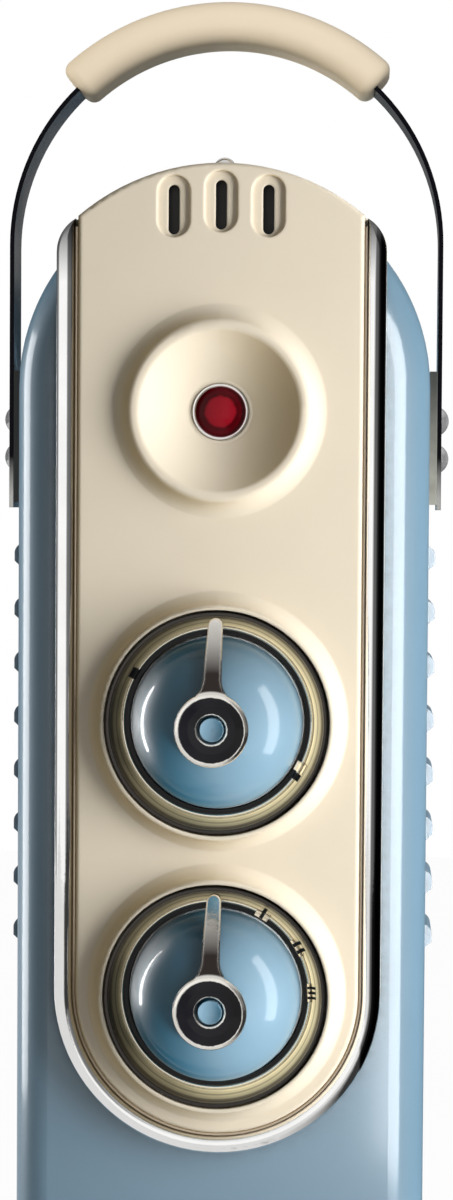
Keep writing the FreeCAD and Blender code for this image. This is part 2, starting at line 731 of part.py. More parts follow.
def add_collar(body, s, name, height):
    """Raised collar with a recess for a dial, and a hole for the bush."""
    drawing = sketch(body, f"{name}_collar_profile", "side")
    axis = axis_line(drawing, height)
    cup = s.collar_bore + s.panel_wall
    floor_back = s.recess_floor + 2
    outline(drawing, [
        (floor_back, height), (-s.collar_rise, height), (-s.collar_rise, height + s.collar_lip - 1),
        (1 - s.collar_rise, height + s.collar_lip, -1), (0, height + s.collar_base, s.collar_sweep),
        (1, height + s.collar_base),
        (1, height + cup), (floor_back, height + cup),
    ])
    spin(body, f"{name}_collar", drawing, axis)
    drawing = sketch(body, f"{name}_recess_profile", "side")
    axis = axis_line(drawing, height)
    bore = s.bush_radius + 2 * s.slip
    outline(drawing, [
        (floor_back + 1, height), (-s.collar_rise - 1, height), (-s.collar_rise - 1, height + s.collar_bore),
        (s.recess_floor, height + s.collar_bore), (s.recess_floor, height + bore), (floor_back + 1, height + bore),
    ])
    spin(body, f"{name}_recess", drawing, axis, cut=True)


def add_dish(body, s):
    """Concave dish with a rounded crest round the pilot lamp."""
    z = s.lamp_height
    hole = s.lens_radius + s.bezel_wall + s.slip / 2
    drawing = sketch(body, "dish_profile", "side")
    axis = axis_line(drawing, z)
    outline(drawing, [
        (s.dish_floor + s.panel_wall, z), (-s.dish_rise, z), (-s.dish_rise, z + s.dish_crest - 1),
        (1.2 - s.dish_rise, z + s.dish_crest + 1.6, -2.4), (0, z + s.dish_base, s.dish_sweep),
        (1, z + s.dish_base), (s.panel_wall, z + s.dish_crest), (s.dish_floor + s.panel_wall, z + s.dish_crest - 12),
    ])
    spin(body, "dish_body", drawing, axis)
    drawing = sketch(body, "dish_hollow_profile", "side")
    axis = axis_line(drawing, z)
    back = s.dish_floor + s.panel_wall + 1
    crest = s.dish_crest - 2.6
    brim = 0.4 - s.dish_rise
    floor = hole + 1.2
    fall = s.dish_floor - brim
    middle = (s.dish_floor + brim) / 2 - (crest * crest - floor * floor) / (2 * fall)
    bowl = root((s.dish_floor - middle) * (s.dish_floor - middle) + floor * floor)
    outline(drawing, [
        (back, z), (-s.dish_rise - 1, z), (-s.dish_rise - 1, z + s.dish_crest - 1.4),
        (-s.dish_rise, z + s.dish_crest - 1.4), (brim, z + crest, 2.4),
        (s.dish_floor, z + floor, -bowl), (s.dish_floor, z + hole), (back, z + hole),
    ])
    spin(body, "dish_hollow", drawing, axis, cut=True)


def add_vents(body, s):
    """Three upright slots, each in a shallow hollow."""
    drawing = sketch(body, "scoop_outline", "front", 0)
    for side in (-1, 0, 1):
        slot_outline(drawing, side * s.vent_pitch, vent_level(s, side) + s.scoop_lift, s.scoop_width, s.scoop_length)
    scoop = pocket(body, "scoop_cut", drawing, s.scoop_depth)
    body.Document.recompute()
    rim = edges_at(scoop.Shape, "y", 0, lambda edge: is_scoop_rim(edge, s))
    fillet(body, "scoop_rounding", scoop, rim, s.scoop_round)
    drawing = sketch(body, "vent_outline", "front", 0)
    for side in (-1, 0, 1):
        slot_outline(drawing, side * s.vent_pitch, vent_level(s, side), s.vent_width, s.vent_length)
    pocket(body, "vent_cut", drawing, s.panel_wall + 1)


def is_scoop_rim(edge, s):
    """Tell whether an edge of the panel's face belongs to the hollow round a vent."""
    bounds = edge.BoundBox
    return bounds.ZMin > (s.vent_height - s.scoop_length).value and bounds.XLength < (s.scoop_width + 1).value


def vent_level(s, side):
    """Height of the middle of a vent."""
    return s.vent_height if side else s.vent_height + s.vent_step


def make_moulding(doc, s):
    """Chrome strip with a rounded face that follows the panel's sides and lower end."""
    body = new_body(doc, "panel_moulding")
    inner = s.panel_half + s.moulding_gap
    outer = inner + s.moulding_width
    low = s.lower_knob
    inner_top = s.dome_height + leg(s.panel_arc, inner)
    outer_top = inner_top - s.moulding_taper
    taper = taper_arc(s.moulding_taper, s.moulding_width)
    drawing = sketch(body, "moulding_outline", "front", s.flange_face)
    outline(drawing, [
        (outer, low), (outer, outer_top), (inner, inner_top, taper), (inner, low),
        (0, low - inner, -inner), (-inner, low, -inner), (-inner, inner_top),
        (-outer, outer_top, taper), (-outer, low), (0, low - outer, outer), (outer, low, outer),
    ])
    base = pad(body, "moulding_base", drawing, s.moulding_rise)
    doc.recompute()
    long_edges = edges_at(base.Shape, "y", s.flange_face.value - s.moulding_rise.value,
                          lambda edge: edge.Length > 2 * s.moulding_width.value)
    fillet(body, "moulding_rounding", base, long_edges, s.moulding_round)
    return [place(body, 0, s.shift)]


def make_lamp(doc, s):
    """Pilot lamp: lens, bezel and holder."""
    outer = s.lens_radius + s.bezel_wall
    lens = new_body(doc, "lamp_lens")
    drawing = sketch(lens, "lens_profile", "side")
    top = s.dish_floor + 1 - s.lens_dome
    radius = (s.lens_dome * s.lens_dome + s.lens_radius * s.lens_radius) / (2 * s.lens_dome)
    outline(drawing, [(s.lens_seat, 0), (top, 0), (s.dish_floor + 1, s.lens_radius, -radius),
                      (s.lens_seat, s.lens_radius)])
    spin(lens, "lens_body", drawing)
    bezel = new_body(doc, "lamp_bezel")
    drawing = sketch(bezel, "bezel_profile", "side")
    bore = s.lens_radius + s.slip / 3
    front = s.dish_floor - 0.8
    outline(drawing, [(s.lens_seat, bore), (front + 0.5, bore), (front, bore + 0.5), (front, outer - 0.6),
                      (front + 0.6, outer, -0.6), (s.lens_seat, outer)])
    spin(bezel, "bezel_body", drawing)
    holder = new_body(doc, "lamp_holder")
    drawing = sketch(holder, "holder_profile", "side")
    seat = s.cover_inside
    outline(drawing, [(s.lens_seat, 0), (s.lens_seat, outer), (seat, outer), (seat, outer + 3),
                      (seat + 2, outer + 3), (seat + 2, outer - 2), (seat + 14, outer - 2), (seat + 14, 0)])
    spin(holder, "holder_body", drawing)
    drawing = sketch(holder, "holder_tabs", "front", seat + 21)
    for side in (-1, 1):
        box_outline(drawing, side * 3.5 - 0.4, side * 3.5 + 0.4, -2.4, 2.4)
    pad(holder, "holder_tab_pads", drawing, 8)
    return [place(item, 0, s.shift, s.lamp_height) for item in (lens, bezel, holder)]


def make_dial(doc, s, prefix, height):
    """One control on the front: dial ring, knob, pointer and shaft."""
    parts = [make_ring(doc, s, prefix), make_knob(doc, s, prefix)]
    parts += [make_pointer(doc, s, prefix), make_shaft(doc, s, prefix)]
    return [place(item, 0, s.shift, height) for item in parts]


def make_ring(doc, s, prefix):
    """Dial ring with a concave face that slopes towards the knob."""
    body = new_body(doc, f"{prefix}_dial_ring")
    drawing = sketch(body, f"{prefix}_ring_profile", "side")
    outer = s.collar_bore - s.ring_gap
    front = -s.collar_rise - s.ring_lip
    foot = front + s.ring_dish
    bead = s.ring_bead
    outline(drawing, [
        (s.recess_floor, s.ring_inner), (s.recess_floor, outer), (front + 0.6, outer), (front, outer - 0.6, 0.6),
        (front, outer - 1.2), (foot, s.ring_inner + 2 * bead, -16), (foot - bead, s.ring_inner + bead, bead),
        (foot, s.ring_inner, bead),
    ])
    spin(body, f"{prefix}_ring_body", drawing)
    return body


def make_knob(doc, s, prefix):
    """Hollow domed knob with a foot rim, a middle pip and a boss for the shaft."""
    body = new_body(doc, f"{prefix}_knob")
    drawing = sketch(body, f"{prefix}_knob_profile", "side")
    foot = s.recess_floor - 3
    shoulder = foot - s.knob_foot
    centre = leg(s.knob_dome, s.knob_top) - s.knob_rise
    pip = s.pip_radius - 0.6
    pip_arc = (pip * pip + s.pip_dish * s.pip_dish) / (2 * s.pip_dish)
    outline(drawing, [
        (foot, 0), (s.pip_dish - s.knob_rise - s.pip_rise, 0), (-s.knob_rise - s.pip_rise, pip, pip_arc),
        (-s.knob_rise, s.pip_radius), (-s.knob_rise, s.knob_top),
        (shoulder, leg(s.knob_dome, shoulder - centre), -s.knob_dome), (shoulder, s.knob_radius - 0.3),
        (shoulder + 0.3, s.knob_radius), (foot, s.knob_radius),
    ])
    spin(body, f"{prefix}_knob_dome", drawing)
    drawing = sketch(body, f"{prefix}_knob_hollow", "side")
    inner = s.knob_dome - s.knob_wall
    roof = s.knob_wall - s.knob_rise
    side = leg(inner, shoulder - centre)
    outline(drawing, [
        (foot + 1, s.knob_boss), (roof, s.knob_boss), (roof, leg(inner, roof - centre)),
        (shoulder, side, -inner), (foot + 1, side),
    ])
    spin(body, f"{prefix}_knob_hollow_cut", drawing, cut=True)
    drawing = sketch(body, f"{prefix}_knob_bore", "front", foot - s.shaft_grip)
    flat_outline(drawing, s.shaft_radius + s.running, s.shaft_flat + s.running)
    pocket(body, f"{prefix}_knob_bore_cut", drawing, s.shaft_grip + 1)
    return body


def flat_outline(drawing, radius, flat):
    """Draw a circle with one flat on top."""
    x = leg(radius, flat)
    outline(drawing, [(x, flat), (-x, flat), (-radius, 0, radius), (0, -radius, radius), (radius, 0, radius),
                      (x, flat, radius)])


def make_pointer(doc, s, prefix):
    """Pointer: a dished ring hub and an arm that bends down over the dial ring."""
    plan_body = new_body(doc, f"{prefix}_pointer_plan")
    drawing = sketch(plan_body, f"{prefix}_pointer_outline", "front", 0)
    hub = s.hub_radius
    neck = 5.6
    shoulder = leg(hub, as_size(neck))
    tip = s.pointer_tip
    end = s.pointer_reach - tip
    outline(drawing, [
        (neck, shoulder), (tip + 0.6, hub + 5, -9), (tip, end), (0, end + tip, tip), (-tip, end, tip),
        (-tip - 0.6, hub + 5), (-neck, shoulder, -9), (-hub, 0, hub), (0, -hub, hub), (hub, 0, hub),
        (neck, shoulder, hub),
    ])
    pad(plan_body, f"{prefix}_pointer_block", drawing, s.knob_front + 10)
    shell_body = new_body(doc, f"{prefix}_pointer_shell")
    drawing = sketch(shell_body, f"{prefix}_pointer_profile", "side")
    low = -s.knob_rise
    top = -s.knob_front
    arm = s.pointer_wall
    reach = s.pointer_reach + 1.5
    end = 1.3 - s.pointer_end
    bend = (s.knob_dome + 3.6) * math.sqrt(0.5)
    centre = leg(s.knob_dome, s.knob_top) - s.knob_rise
    back = arm * math.sqrt(0.5)
    outline(drawing, [
        (low, s.hub_bore), (top + 2.4, s.hub_bore), (top + 2.0, s.hub_bore + 0.6), (top + 1.7, s.hub_bore + 3.4),
        (top, hub - 1.4), (top + 0.3, hub - 0.5), (centre - bend, bend), (end, reach),
        (end + back, reach - back), (centre - bend + back, bend - back), (low - 1.6, s.knob_top - 0.6),
        (low, s.knob_top - 0.6),
    ])
    spin(shell_body, f"{prefix}_pointer_turn", drawing)
    blank = doc.addObject("Part::Common", f"{prefix}_pointer_blank")
    blank.Base = plan_body
    blank.Tool = shell_body
    doc.recompute()
    item = doc.addObject("Part::Chamfer", f"{prefix}_pointer")
    item.Base = blank
    bevel = s.pointer_bevel.value
    item.Edges = [(index, bevel, bevel) for index in rim_edges(blank.Shape, s.hub_bore.value + bevel)]
    item.Label = f"{prefix}_pointer"
    return item


def rim_edges(shape, bore):
    """Numbers of the edges between a pointer's front and its outer walls."""
    numbers = []
    for number, edge in enumerate(shape.Edges, start=1):
        spot = edge.valueAt((edge.FirstParameter + edge.LastParameter) / 2)
        faces = [face for face in shape.Faces if any(side.isSame(edge) for side in face.Edges)]
        leans = [face.normalAt(*face.Surface.parameter(spot)).y for face in faces]
        wall = any(abs(lean) < 0.05 for lean in leans)
        front = any(lean < -0.25 for lean in leans)
        if wall and front and math.hypot(spot.x, spot.z) > bore:
            numbers.append(number)
    return numbers


def make_shaft(doc, s, prefix):
    """Control shaft with a flat where the knob grips it."""
    foot = s.recess_floor - 3
    front = foot - s.shaft_grip + 0.5
    bar = cylinder(doc, f"{prefix}_shaft_bar", s.shaft_radius, s.shaft_end - front, "y", y=front)
    side = 2 * s.shaft_radius
    chip = block(doc, f"{prefix}_shaft_chip", -side, side, front - 1, foot + 2, s.shaft_flat, side)
    return cut(doc, f"{prefix}_shaft", bar, chip)


def make_controls(doc, s):
    """Thermostat and selector switch behind the cover, with their nuts."""
    parts = []
    specs = (("thermostat_body", s.upper_knob, 36, 30, (-9, 9)), ("selector_body", s.lower_knob, 32, 34, (-11, 0, 11)))
    for name, height, width, tall, tabs in specs:
        body = new_body(doc, name)
        drawing = sketch(body, f"{name}_case", "front", s.shaft_end + 3)
        box_outline(drawing, -width / 2, width / 2, -tall / 2, tall / 2)
        pad(body, f"{name}_case_pad", drawing, s.shaft_end + 3 - s.cover_inside)
        drawing = sketch(body, f"{name}_bush", "front", s.cover_inside)
        circle(drawing, 0, 0, s.bush_radius)
        pad(body, f"{name}_bush_pad", drawing, s.cover_wall + s.bush_reach)
        drawing = sketch(body, f"{name}_bore", "front", s.cover_face - s.bush_reach - 1)
        circle(drawing, 0, 0, s.shaft_radius + s.running)
        pocket(body, f"{name}_bore_cut", drawing, s.shaft_end + s.slip - s.cover_face + s.bush_reach + 1)
        drawing = sketch(body, f"{name}_tabs", "front", s.shaft_end + 11)
        for x in tabs:
            box_outline(drawing, x - 0.4, x + 0.4, -3.2, 3.2)
        pad(body, f"{name}_tab_pads", drawing, 9)
        parts.append(place(body, 0, s.shift, height))
    nuts = []
    for name, height in (("upper", s.upper_knob), ("lower", s.lower_knob)):
        front = s.cover_face - s.nut_rise
        outer = prism(doc, f"{name}_nut_body", s.nut_flats, s.nut_rise, "y", 0, front, height)
        bore = cylinder(doc, f"{name}_nut_bore", s.bush_radius + s.running, s.nut_rise + 2, "y", 0, front - 1, height)
        nuts.append(cut(doc, f"{name}_nut", outer, bore))
    parts.append(place(group(doc, "bush_nuts", nuts), 0, s.shift))
    return parts


def make_screw(doc, name, spec, axis, spot):
    """Domed screw; spec is head radius, dome rise, shank radius and shank length."""
    head, rise, shank, length = [as_size(value) for value in spec]
    body = new_body(doc, name)
    drawing = sketch(body, f"{name}_profile", "side")
    radius = (head * head + rise * rise) / (2 * rise)
    outline(drawing, [(length, 0), (-rise, 0), (0, head, -radius), (0, shank), (length, shank)])
    spin(body, f"{name}_turn", drawing)
    return place(body, *spot, turn=axis)


def make_screws(doc, s):
    """Panel, skirt and shield screws."""
    inward = FreeCAD.Rotation(Vector(0, 0, 1), 180)
    downward = FreeCAD.Rotation(Vector(1, 0, 0), -90)
    parts = []
    screws = []
    for index, (x, z) in enumerate(panel_screw_spots(s)):
        spec = (3.4, 2.2, 1.45, s.cover_wall + 6)
        screws.append(make_screw(doc, f"panel_screw_{index}", spec, inward, (x, s.cover_inside, z)))
    parts.append(place(group(doc, "panel_screws", screws), 0, s.shift))
    spec = (4.1, 4.6, 2, s.panel_over + 4)
    spot = (0, top_screw_depth(s) + s.shift, s.dome_height + s.panel_arc)
    parts.append(make_screw(doc, "top_screw", spec, downward, spot))
    screws = []
    for index, (x, z) in enumerate(shield_screw_spots(s)):
        spec = (3.4, 2.2, 1.65, s.shield_wall + 5)
        screws.append(make_screw(doc, f"shield_screw_{index}", spec, inward, (x, s.shield_rear, z)))
    parts.append(place(group(doc, "shield_screws", screws), 0, s.shift))
    return parts


def make_handle(doc, s):
    """Carrying hoop: steel strap, moulded grip, pads, screws and nuts."""
    strap = new_body(doc, "handle_strap")
    back = s.strap_front + s.strap_width
    drawing = sketch(strap, "strap_outline", "front", back)
    low = s.strap_foot
    centre = s.hoop_height
    outline(drawing, [
        (s.strap_inner, low), (s.strap_outer, low), (s.strap_outer, centre),
        (0, centre + s.strap_outer, s.strap_outer), (-s.strap_outer, centre, s.strap_outer), (-s.strap_outer, low),
        (-s.strap_inner, low), (-s.strap_inner, centre), (0, centre + s.strap_inner, -s.strap_inner),
        (s.strap_inner, centre, -s.strap_inner),
    ])
    pad(strap, "strap_band", drawing, s.strap_width)
    drawing = sketch(strap, "strap_holes", "side")
    for step in range(2):
        circle(drawing, s.strap_middle, s.handle_screw_low + s.handle_screw_pitch * step, s.handle_screw + s.slip)
    pocket(strap, "strap_hole_cut", drawing, 2 * s.strap_outer + 2, both=True)
    parts = [place(strap, 0, s.shift), make_grip(doc, s)]
    pads = []
    screws = []
    nuts = []
    for side, name in ((-1, "left"), (1, "right")):
        pads.append(make_pad(doc, s, name, side))
        turn = FreeCAD.Rotation(Vector(0, 0, 1), 90 * side)
        for step in range(2):
            height = s.handle_screw_low + s.handle_screw_pitch * step
            spec = (s.handle_head, s.handle_dome, s.handle_screw, s.strap_wall + s.pad_wall + s.cover_wall + 5)
            spot = (side * s.strap_outer, s.strap_middle, height)
            screws.append(make_screw(doc, f"handle_screw_{name}_{step}", spec, turn, spot))
            inner = s.cover_half - s.cover_wall
            start = inner - 3.2 if side > 0 else -inner
            spot = (start, s.strap_middle, height)
            outer = prism(doc, f"handle_nut_body_{name}_{step}", as_size(7), 3.2, "x", *spot)
            hole = (start - 1, s.strap_middle, height)
            bore = cylinder(doc, f"handle_nut_bore_{name}_{step}", s.handle_screw + s.running, 6, "x", *hole)
            nuts.append(cut(doc, f"handle_nut_{name}_{step}", outer, bore))
    for name, items in (("handle_pads", pads), ("handle_screws", screws), ("handle_nuts", nuts)):
        parts.append(place(group(doc, name, items), 0, s.shift))
    return parts


def make_pad(doc, s, name, side):
    """Spacer between the strap and the cover's side."""
    inner = side * s.cover_half
    outer = side * s.strap_inner
    left, right = (inner, outer) if side > 0 else (outer, inner)
    back = s.strap_front + s.strap_width
    base = block(doc, f"handle_pad_{name}_base", left, right, s.strap_front, back, s.pad_foot, s.pad_foot + s.pad_rise)
    holes = []
    for step in range(2):
        height = s.handle_screw_low + s.handle_screw_pitch * step
        spot = (left - 1, s.strap_middle, height)
        label = f"handle_pad_{name}_hole_{step}"
        holes.append(cylinder(doc, label, s.handle_screw + s.slip, s.pad_wall + 2, "x", *spot))
    return cut(doc, f"handle_pad_{name}", base, fuse(doc, f"handle_pad_{name}_holes", holes))


def make_grip(doc, s):
    """Arched grip with a slot for the strap and rounded ends."""
    body = new_body(doc, "handle_grip")
    high = s.strap_outer + s.grip_crown
    low = high - s.grip_thick
    front = s.strap_middle - s.grip_depth / 2
    back = s.strap_middle + s.grip_depth / 2
    r = s.grip_round
    drawing = sketch(body, "grip_section", "side")
    outline(drawing, [
        (front + r, low), (back - r, low), (back, low + r, r), (back, high - r), (back - r, high, r),
        (front + r, high), (front, high - r, r), (front, low + r), (front + r, low, r),
    ])
    bar = feature(body, "Revolution", "grip_bar", drawing, "Angle", s.grip_angle)
    bar.ReferenceAxis = (drawing, ["H_Axis"])
    bar.Midplane = True
    doc.recompute()
    ends = [f"Edge{i}" for i, edge in enumerate(bar.Shape.Edges, 1) if is_grip_end(edge, s)]
    fillet(body, "grip_rounding", bar, ends, s.grip_end)
    drawing = sketch(body, "grip_slot", "side")
    box_outline(drawing, s.strap_front - s.slip, s.strap_front + s.strap_width + s.slip,
                s.strap_inner - s.slip / 3, s.strap_outer + s.slip / 3)
    slot = spin(body, "grip_slot_cut", drawing, cut=True)
    body.Tip = slot
    return place(body, 0, s.shift, s.hoop_height)


def is_grip_end(edge, s):
    """Tell whether an edge lies in one of the two end planes of the grip."""
    angle = math.radians(s.grip_angle.value / 2)
    for side in (-1, 1):
        normal = Vector(side * math.cos(angle), 0, -math.sin(angle))
        samples = [edge.valueAt(p) for p in (edge.FirstParameter, edge.LastParameter)]
        samples.append(edge.valueAt((edge.FirstParameter + edge.LastParameter) / 2))
        if all(abs(normal.dot(point)) < 0.01 for point in samples):
            return True
    return False


def make_shield(doc, s):
    """Heat shield that closes the back of the cover, and the cut-out fixed to it."""
    body = new_body(doc, "heat_shield")
    drawing = sketch(body, "shield_outline", "front", s.shield_rear)
    tombstone(drawing, s.cover_half, s.cover_bottom, s.dome_height, s.cover_corner)
    pad(body, "shield_plate", drawing, s.shield_wall)
    drawing = sketch(body, "shield_holes", "front", s.cover_rear - 1)
    for height in (s.gallery_low, s.gallery_high):
        circle(drawing, 0, height, s.gallery_bore + s.slip)
    for x, z in shield_screw_spots(s):
        circle(drawing, x, z, 2)
    pocket(body, "shield_hole_cut", drawing, s.shield_wall + 2)
    limiter = new_body(doc, "thermal_cutout")
    drawing = sketch(limiter, "cutout_profile", "side")
    seat = s.cover_rear
    r = s.cutout_radius
    outline(drawing, [(seat, 0), (seat - 9, 0), (seat - 9, r), (seat - 2, r), (seat - 2, r + 4), (seat, r + 4)])
    spin(limiter, "cutout_body", drawing)
    drawing = sketch(limiter, "cutout_tabs", "front", seat - 9)
    for side in (-1, 1):
        box_outline(drawing, side * 4.5 - 0.4, side * 4.5 + 0.4, -3.2, 3.2)
    pad(limiter, "cutout_tab_pads", drawing, 8)
    return [place(body, 0, s.shift), place(limiter, 0, s.shift, s.cutout_height)]


def make_terminals(doc, s):
    """Terminal block on the floor of the cover, behind the cord outlet."""
    body = new_body(doc, "terminal_block")
    low = s.cover_bottom + s.cover_wall
    drawing = sketch(body, "terminal_base", "plan", low)
    front = s.outlet_depth + s.outlet_length / 2 + 0.5
    box_outline(drawing, -16, 16, front, front + 10)
    pad(body, "terminal_base_pad", drawing, 14)
    drawing = sketch(body, "terminal_wells", "plan", low + 14)
    for x in (-10, 0, 10):
        circle(drawing, x, front + 5, 3)
    pocket(body, "terminal_well_cut", drawing, 7)
    return [place(body, 0, s.shift)]


def make_plug(doc, s, name, height, front, holes):
    """Gallery plug: a hexagon, a flange and a spigot in the gallery's bore."""
    body = new_body(doc, name)
    drawing = sketch(body, f"{name}_profile", "side")
    r = s.gallery_bore - s.running
    back = front + s.plug_wall
    tail = s.shield_rear + s.plug_spigot
    outline(drawing, [(front, 0), (tail, 0), (tail, r), (back, r), (back, s.plug_radius), (front, s.plug_radius)])
    spin(body, f"{name}_turn", drawing)
    drawing = sketch(body, f"{name}_hex", "front", front)
    corner = s.plug_flats / math.sqrt(3)
    flat = s.plug_flats / 2
    outline(drawing, [(corner, 0), (corner / 2, flat), (-corner / 2, flat), (-corner, 0),
                      (-corner / 2, -flat), (corner / 2, -flat)])
    pad(body, f"{name}_hex_pad", drawing, 6)
    if holes:
        drawing = sketch(body, f"{name}_holes", "front", front - 7)
        for x, z in element_spots(s):
            circle(drawing, x, z, s.element_radius + s.running)
        pocket(body, f"{name}_hole_cut", drawing, tail - front + 8)
    return place(body, 0, s.shift, height)


def element_spots(s):
    """Places of the heater tubes across the gallery, as x and z from its axis."""
    return [(side * s.element_bend, lift * s.element_lift) for lift in (-1, 1) for side in (-1, 1)]


def make_heater(doc, s):
    """Heater plug with two hairpin tubes, its gasket, and the plug of the upper gallery."""
    plug_front = s.cover_rear - s.gasket_wall - s.plug_wall
    parts = [make_plug(doc, s, "heater_plug", s.gallery_low, plug_front, True)]
    parts.append(make_plug(doc, s, "upper_plug", s.gallery_high, s.cover_rear - s.plug_wall, False))
    gasket = new_body(doc, "heater_gasket")
    drawing = sketch(gasket, "gasket_outline", "front", s.cover_rear)
    circle(drawing, 0, 0, s.plug_radius)
    circle(drawing, 0, 0, s.gallery_bore + s.slip)
    pad(gasket, "gasket_ring", drawing, s.gasket_wall)
    parts.append(place(gasket, 0, s.shift, s.gallery_low))
    start = plug_front - s.element_tail
    bend = s.stack_rear - 30
    hairpins = []
    for name, lift in (("upper", 1), ("lower", -1)):
        pieces = []
        height = lift * s.element_lift
        for side, label in ((-1, "left"), (1, "right")):
            spot = (side * s.element_bend, start, height)
            pieces.append(cylinder(doc, f"hairpin_{name}_{label}", s.element_radius, bend - start, "y", *spot))
        turn = doc.addObject("Part::Torus", f"hairpin_{name}_bend")
        bind(turn, "Radius1", s.element_bend)
        bind(turn, "Radius2", s.element_radius)
        turn.Angle3 = 180
        pieces.append(place(turn, 0, bend, height))
        hairpins.append(fuse(doc, f"hairpin_{name}", pieces))
    parts.append(place(group(doc, "heater_elements", hairpins), 0, s.shift, s.gallery_low))
    return parts


def make_fin(doc, s, index):
    """One fin: a welded plate with oil channels, headers, galleries and folded edges."""
    name = f"fin_{index + 1}"
    body = new_body(doc, name)
    half = s.fin_width / 2
    drawing = sketch(body, f"{name}_outline", "front")
    tombstone(drawing, half, s.fin_bottom, s.dome_height, s.fin_corner)
    pad(body, f"{name}_plate", drawing, s.fin_plate, both=True)
    drawing = sketch(body, f"{name}_channels", "plan", s.gallery_low)
    foot = s.channel_foot / 2
    crown = s.channel_crown / 2
    deep = s.channel_depth / 2
    for side in (-1, 0, 1):
        channel_outline(drawing, side * s.channel_pitch, foot, crown, deep)
    pad(body, f"{name}_channel_pads", drawing, s.gallery_high - s.gallery_low)
    for label, height in (("low", s.gallery_low), ("high", s.gallery_high)):
        add_header(body, s, f"{name}_{label}", height)
        add_gallery(body, s, f"{name}_{label}", height)
    hollow_fin(body, s, name)
    drawing = sketch(body, f"{name}_flanges", "plan", s.flange_foot)
    for side in (-1, 1):
        edges = sorted([side * half, side * (half - s.fin_plate)], key=lambda size: size.value)
        box_outline(drawing, *edges, -s.fin_plate / 2, s.fin_flange - s.fin_plate / 2)
    pad(body, f"{name}_flange_pads", drawing, s.dome_height - s.flange_foot)
    drawing = sketch(body, f"{name}_bores", "front", -s.fin_pitch / 2 - 1)
    for height in (s.gallery_low, s.gallery_high):
        circle(drawing, 0, height, s.gallery_bore)
    pocket(body, f"{name}_bore_cut", drawing, s.fin_pitch + 2)
    return place(body, 0, s.shift + s.shield_rear + s.fin_pitch * (index + 0.5))


def header_loft(body, s, name, kind, height, inset, deep):
    """Header across the channels, as material or as the oil space inside it."""
    sections = []
    slope = s.channel_foot / 2 - s.channel_crown / 2
    for label, level, narrow in (("front", -deep, slope), ("middle", as_size(0), 0), ("back", deep, slope)):
        drawing = sketch(body, f"{name}_{label}", "front", level)
        rise = s.header_rise / 2 - inset - narrow
        reach = s.channel_pitch
        outline(drawing, [
            (reach, height - rise), (reach + rise, height, rise), (reach, height + rise, rise),
            (-reach, height + rise), (-reach - rise, height, rise), (-reach, height - rise, rise),
        ])
        sections.append(drawing)
    loft = body.newObject(f"PartDesign::{kind}", name)
    loft.Profile = sections[0]
    loft.Sections = sections[1:]
    loft.Ruled = True


def add_header(body, s, name, height):
    """Header that joins the channels."""
    header_loft(body, s, f"{name}_header", "AdditiveLoft", height, as_size(0), s.channel_depth / 2)


def add_gallery(body, s, name, height):
    """Gallery tube that meets the tubes of the next fins, flared where it joins the header."""
    drawing = sketch(body, f"{name}_gallery_profile", "side")
    axis = axis_line(drawing, height)
    end = s.fin_pitch / 2
    deep = s.channel_depth / 2
    r = s.gallery_radius
    outline(drawing, [
        (-end, height), (-end, height + r), (-deep - 5, height + r), (-deep, height + r + 6),
        (deep, height + r + 6), (deep + 5, height + r), (end, height + r), (end, height),
    ])
    spin(body, f"{name}_gallery", drawing, axis)


def hollow_fin(body, s, name):
    """Oil space inside the channels and headers of a fin."""
    deep = s.channel_depth / 2 - s.oil_wall
    drawing = sketch(body, f"{name}_oil_channels", "plan", s.gallery_high)
    foot = s.channel_foot / 2 - 1.5 * s.oil_wall
    crown = s.channel_crown / 2 - 0.8 * s.oil_wall
    for side in (-1, 0, 1):
        channel_outline(drawing, side * s.channel_pitch, foot, crown, deep)
    pocket(body, f"{name}_oil_channel_cut", drawing, s.gallery_high - s.gallery_low)
    for label, height in (("low", s.gallery_low), ("high", s.gallery_high)):
        header_loft(body, s, f"{name}_{label}_oil", "SubtractiveLoft", height, 1.5 * s.oil_wall, deep)


def channel_outline(drawing, x, foot, crown, deep):
    """Draw the six-sided section of one oil channel."""
    outline(drawing, [(x - foot, 0), (x - crown, -deep), (x + crown, -deep), (x + foot, 0),
                      (x + crown, deep), (x - crown, deep)])


def make_fins(doc, s):
    """The stack of fins and the caps on the galleries' rear ends."""
    parts = [make_fin(doc, s, index) for index in range(int(s.fin_count.value))]
    caps = []
    for name, height in (("low", s.gallery_low), ("high", s.gallery_high)):
        body = new_body(doc, f"rear_cap_{name}")
        drawing = sketch(body, f"rear_cap_{name}_profile", "side")
        r = s.gallery_bore - s.running
        outline(drawing, [(s.stack_rear - 6, 0), (s.rear, 0), (s.rear, s.gallery_radius - 2),
                          (s.stack_rear, s.gallery_radius - 2), (s.stack_rear, r), (s.stack_rear - 6, r)])
        spin(body, f"rear_cap_{name}_turn", drawing)
        caps.append(place(body, 0, 0, height))
    return parts + [place(group(doc, "rear_caps", caps), 0, s.shift)]


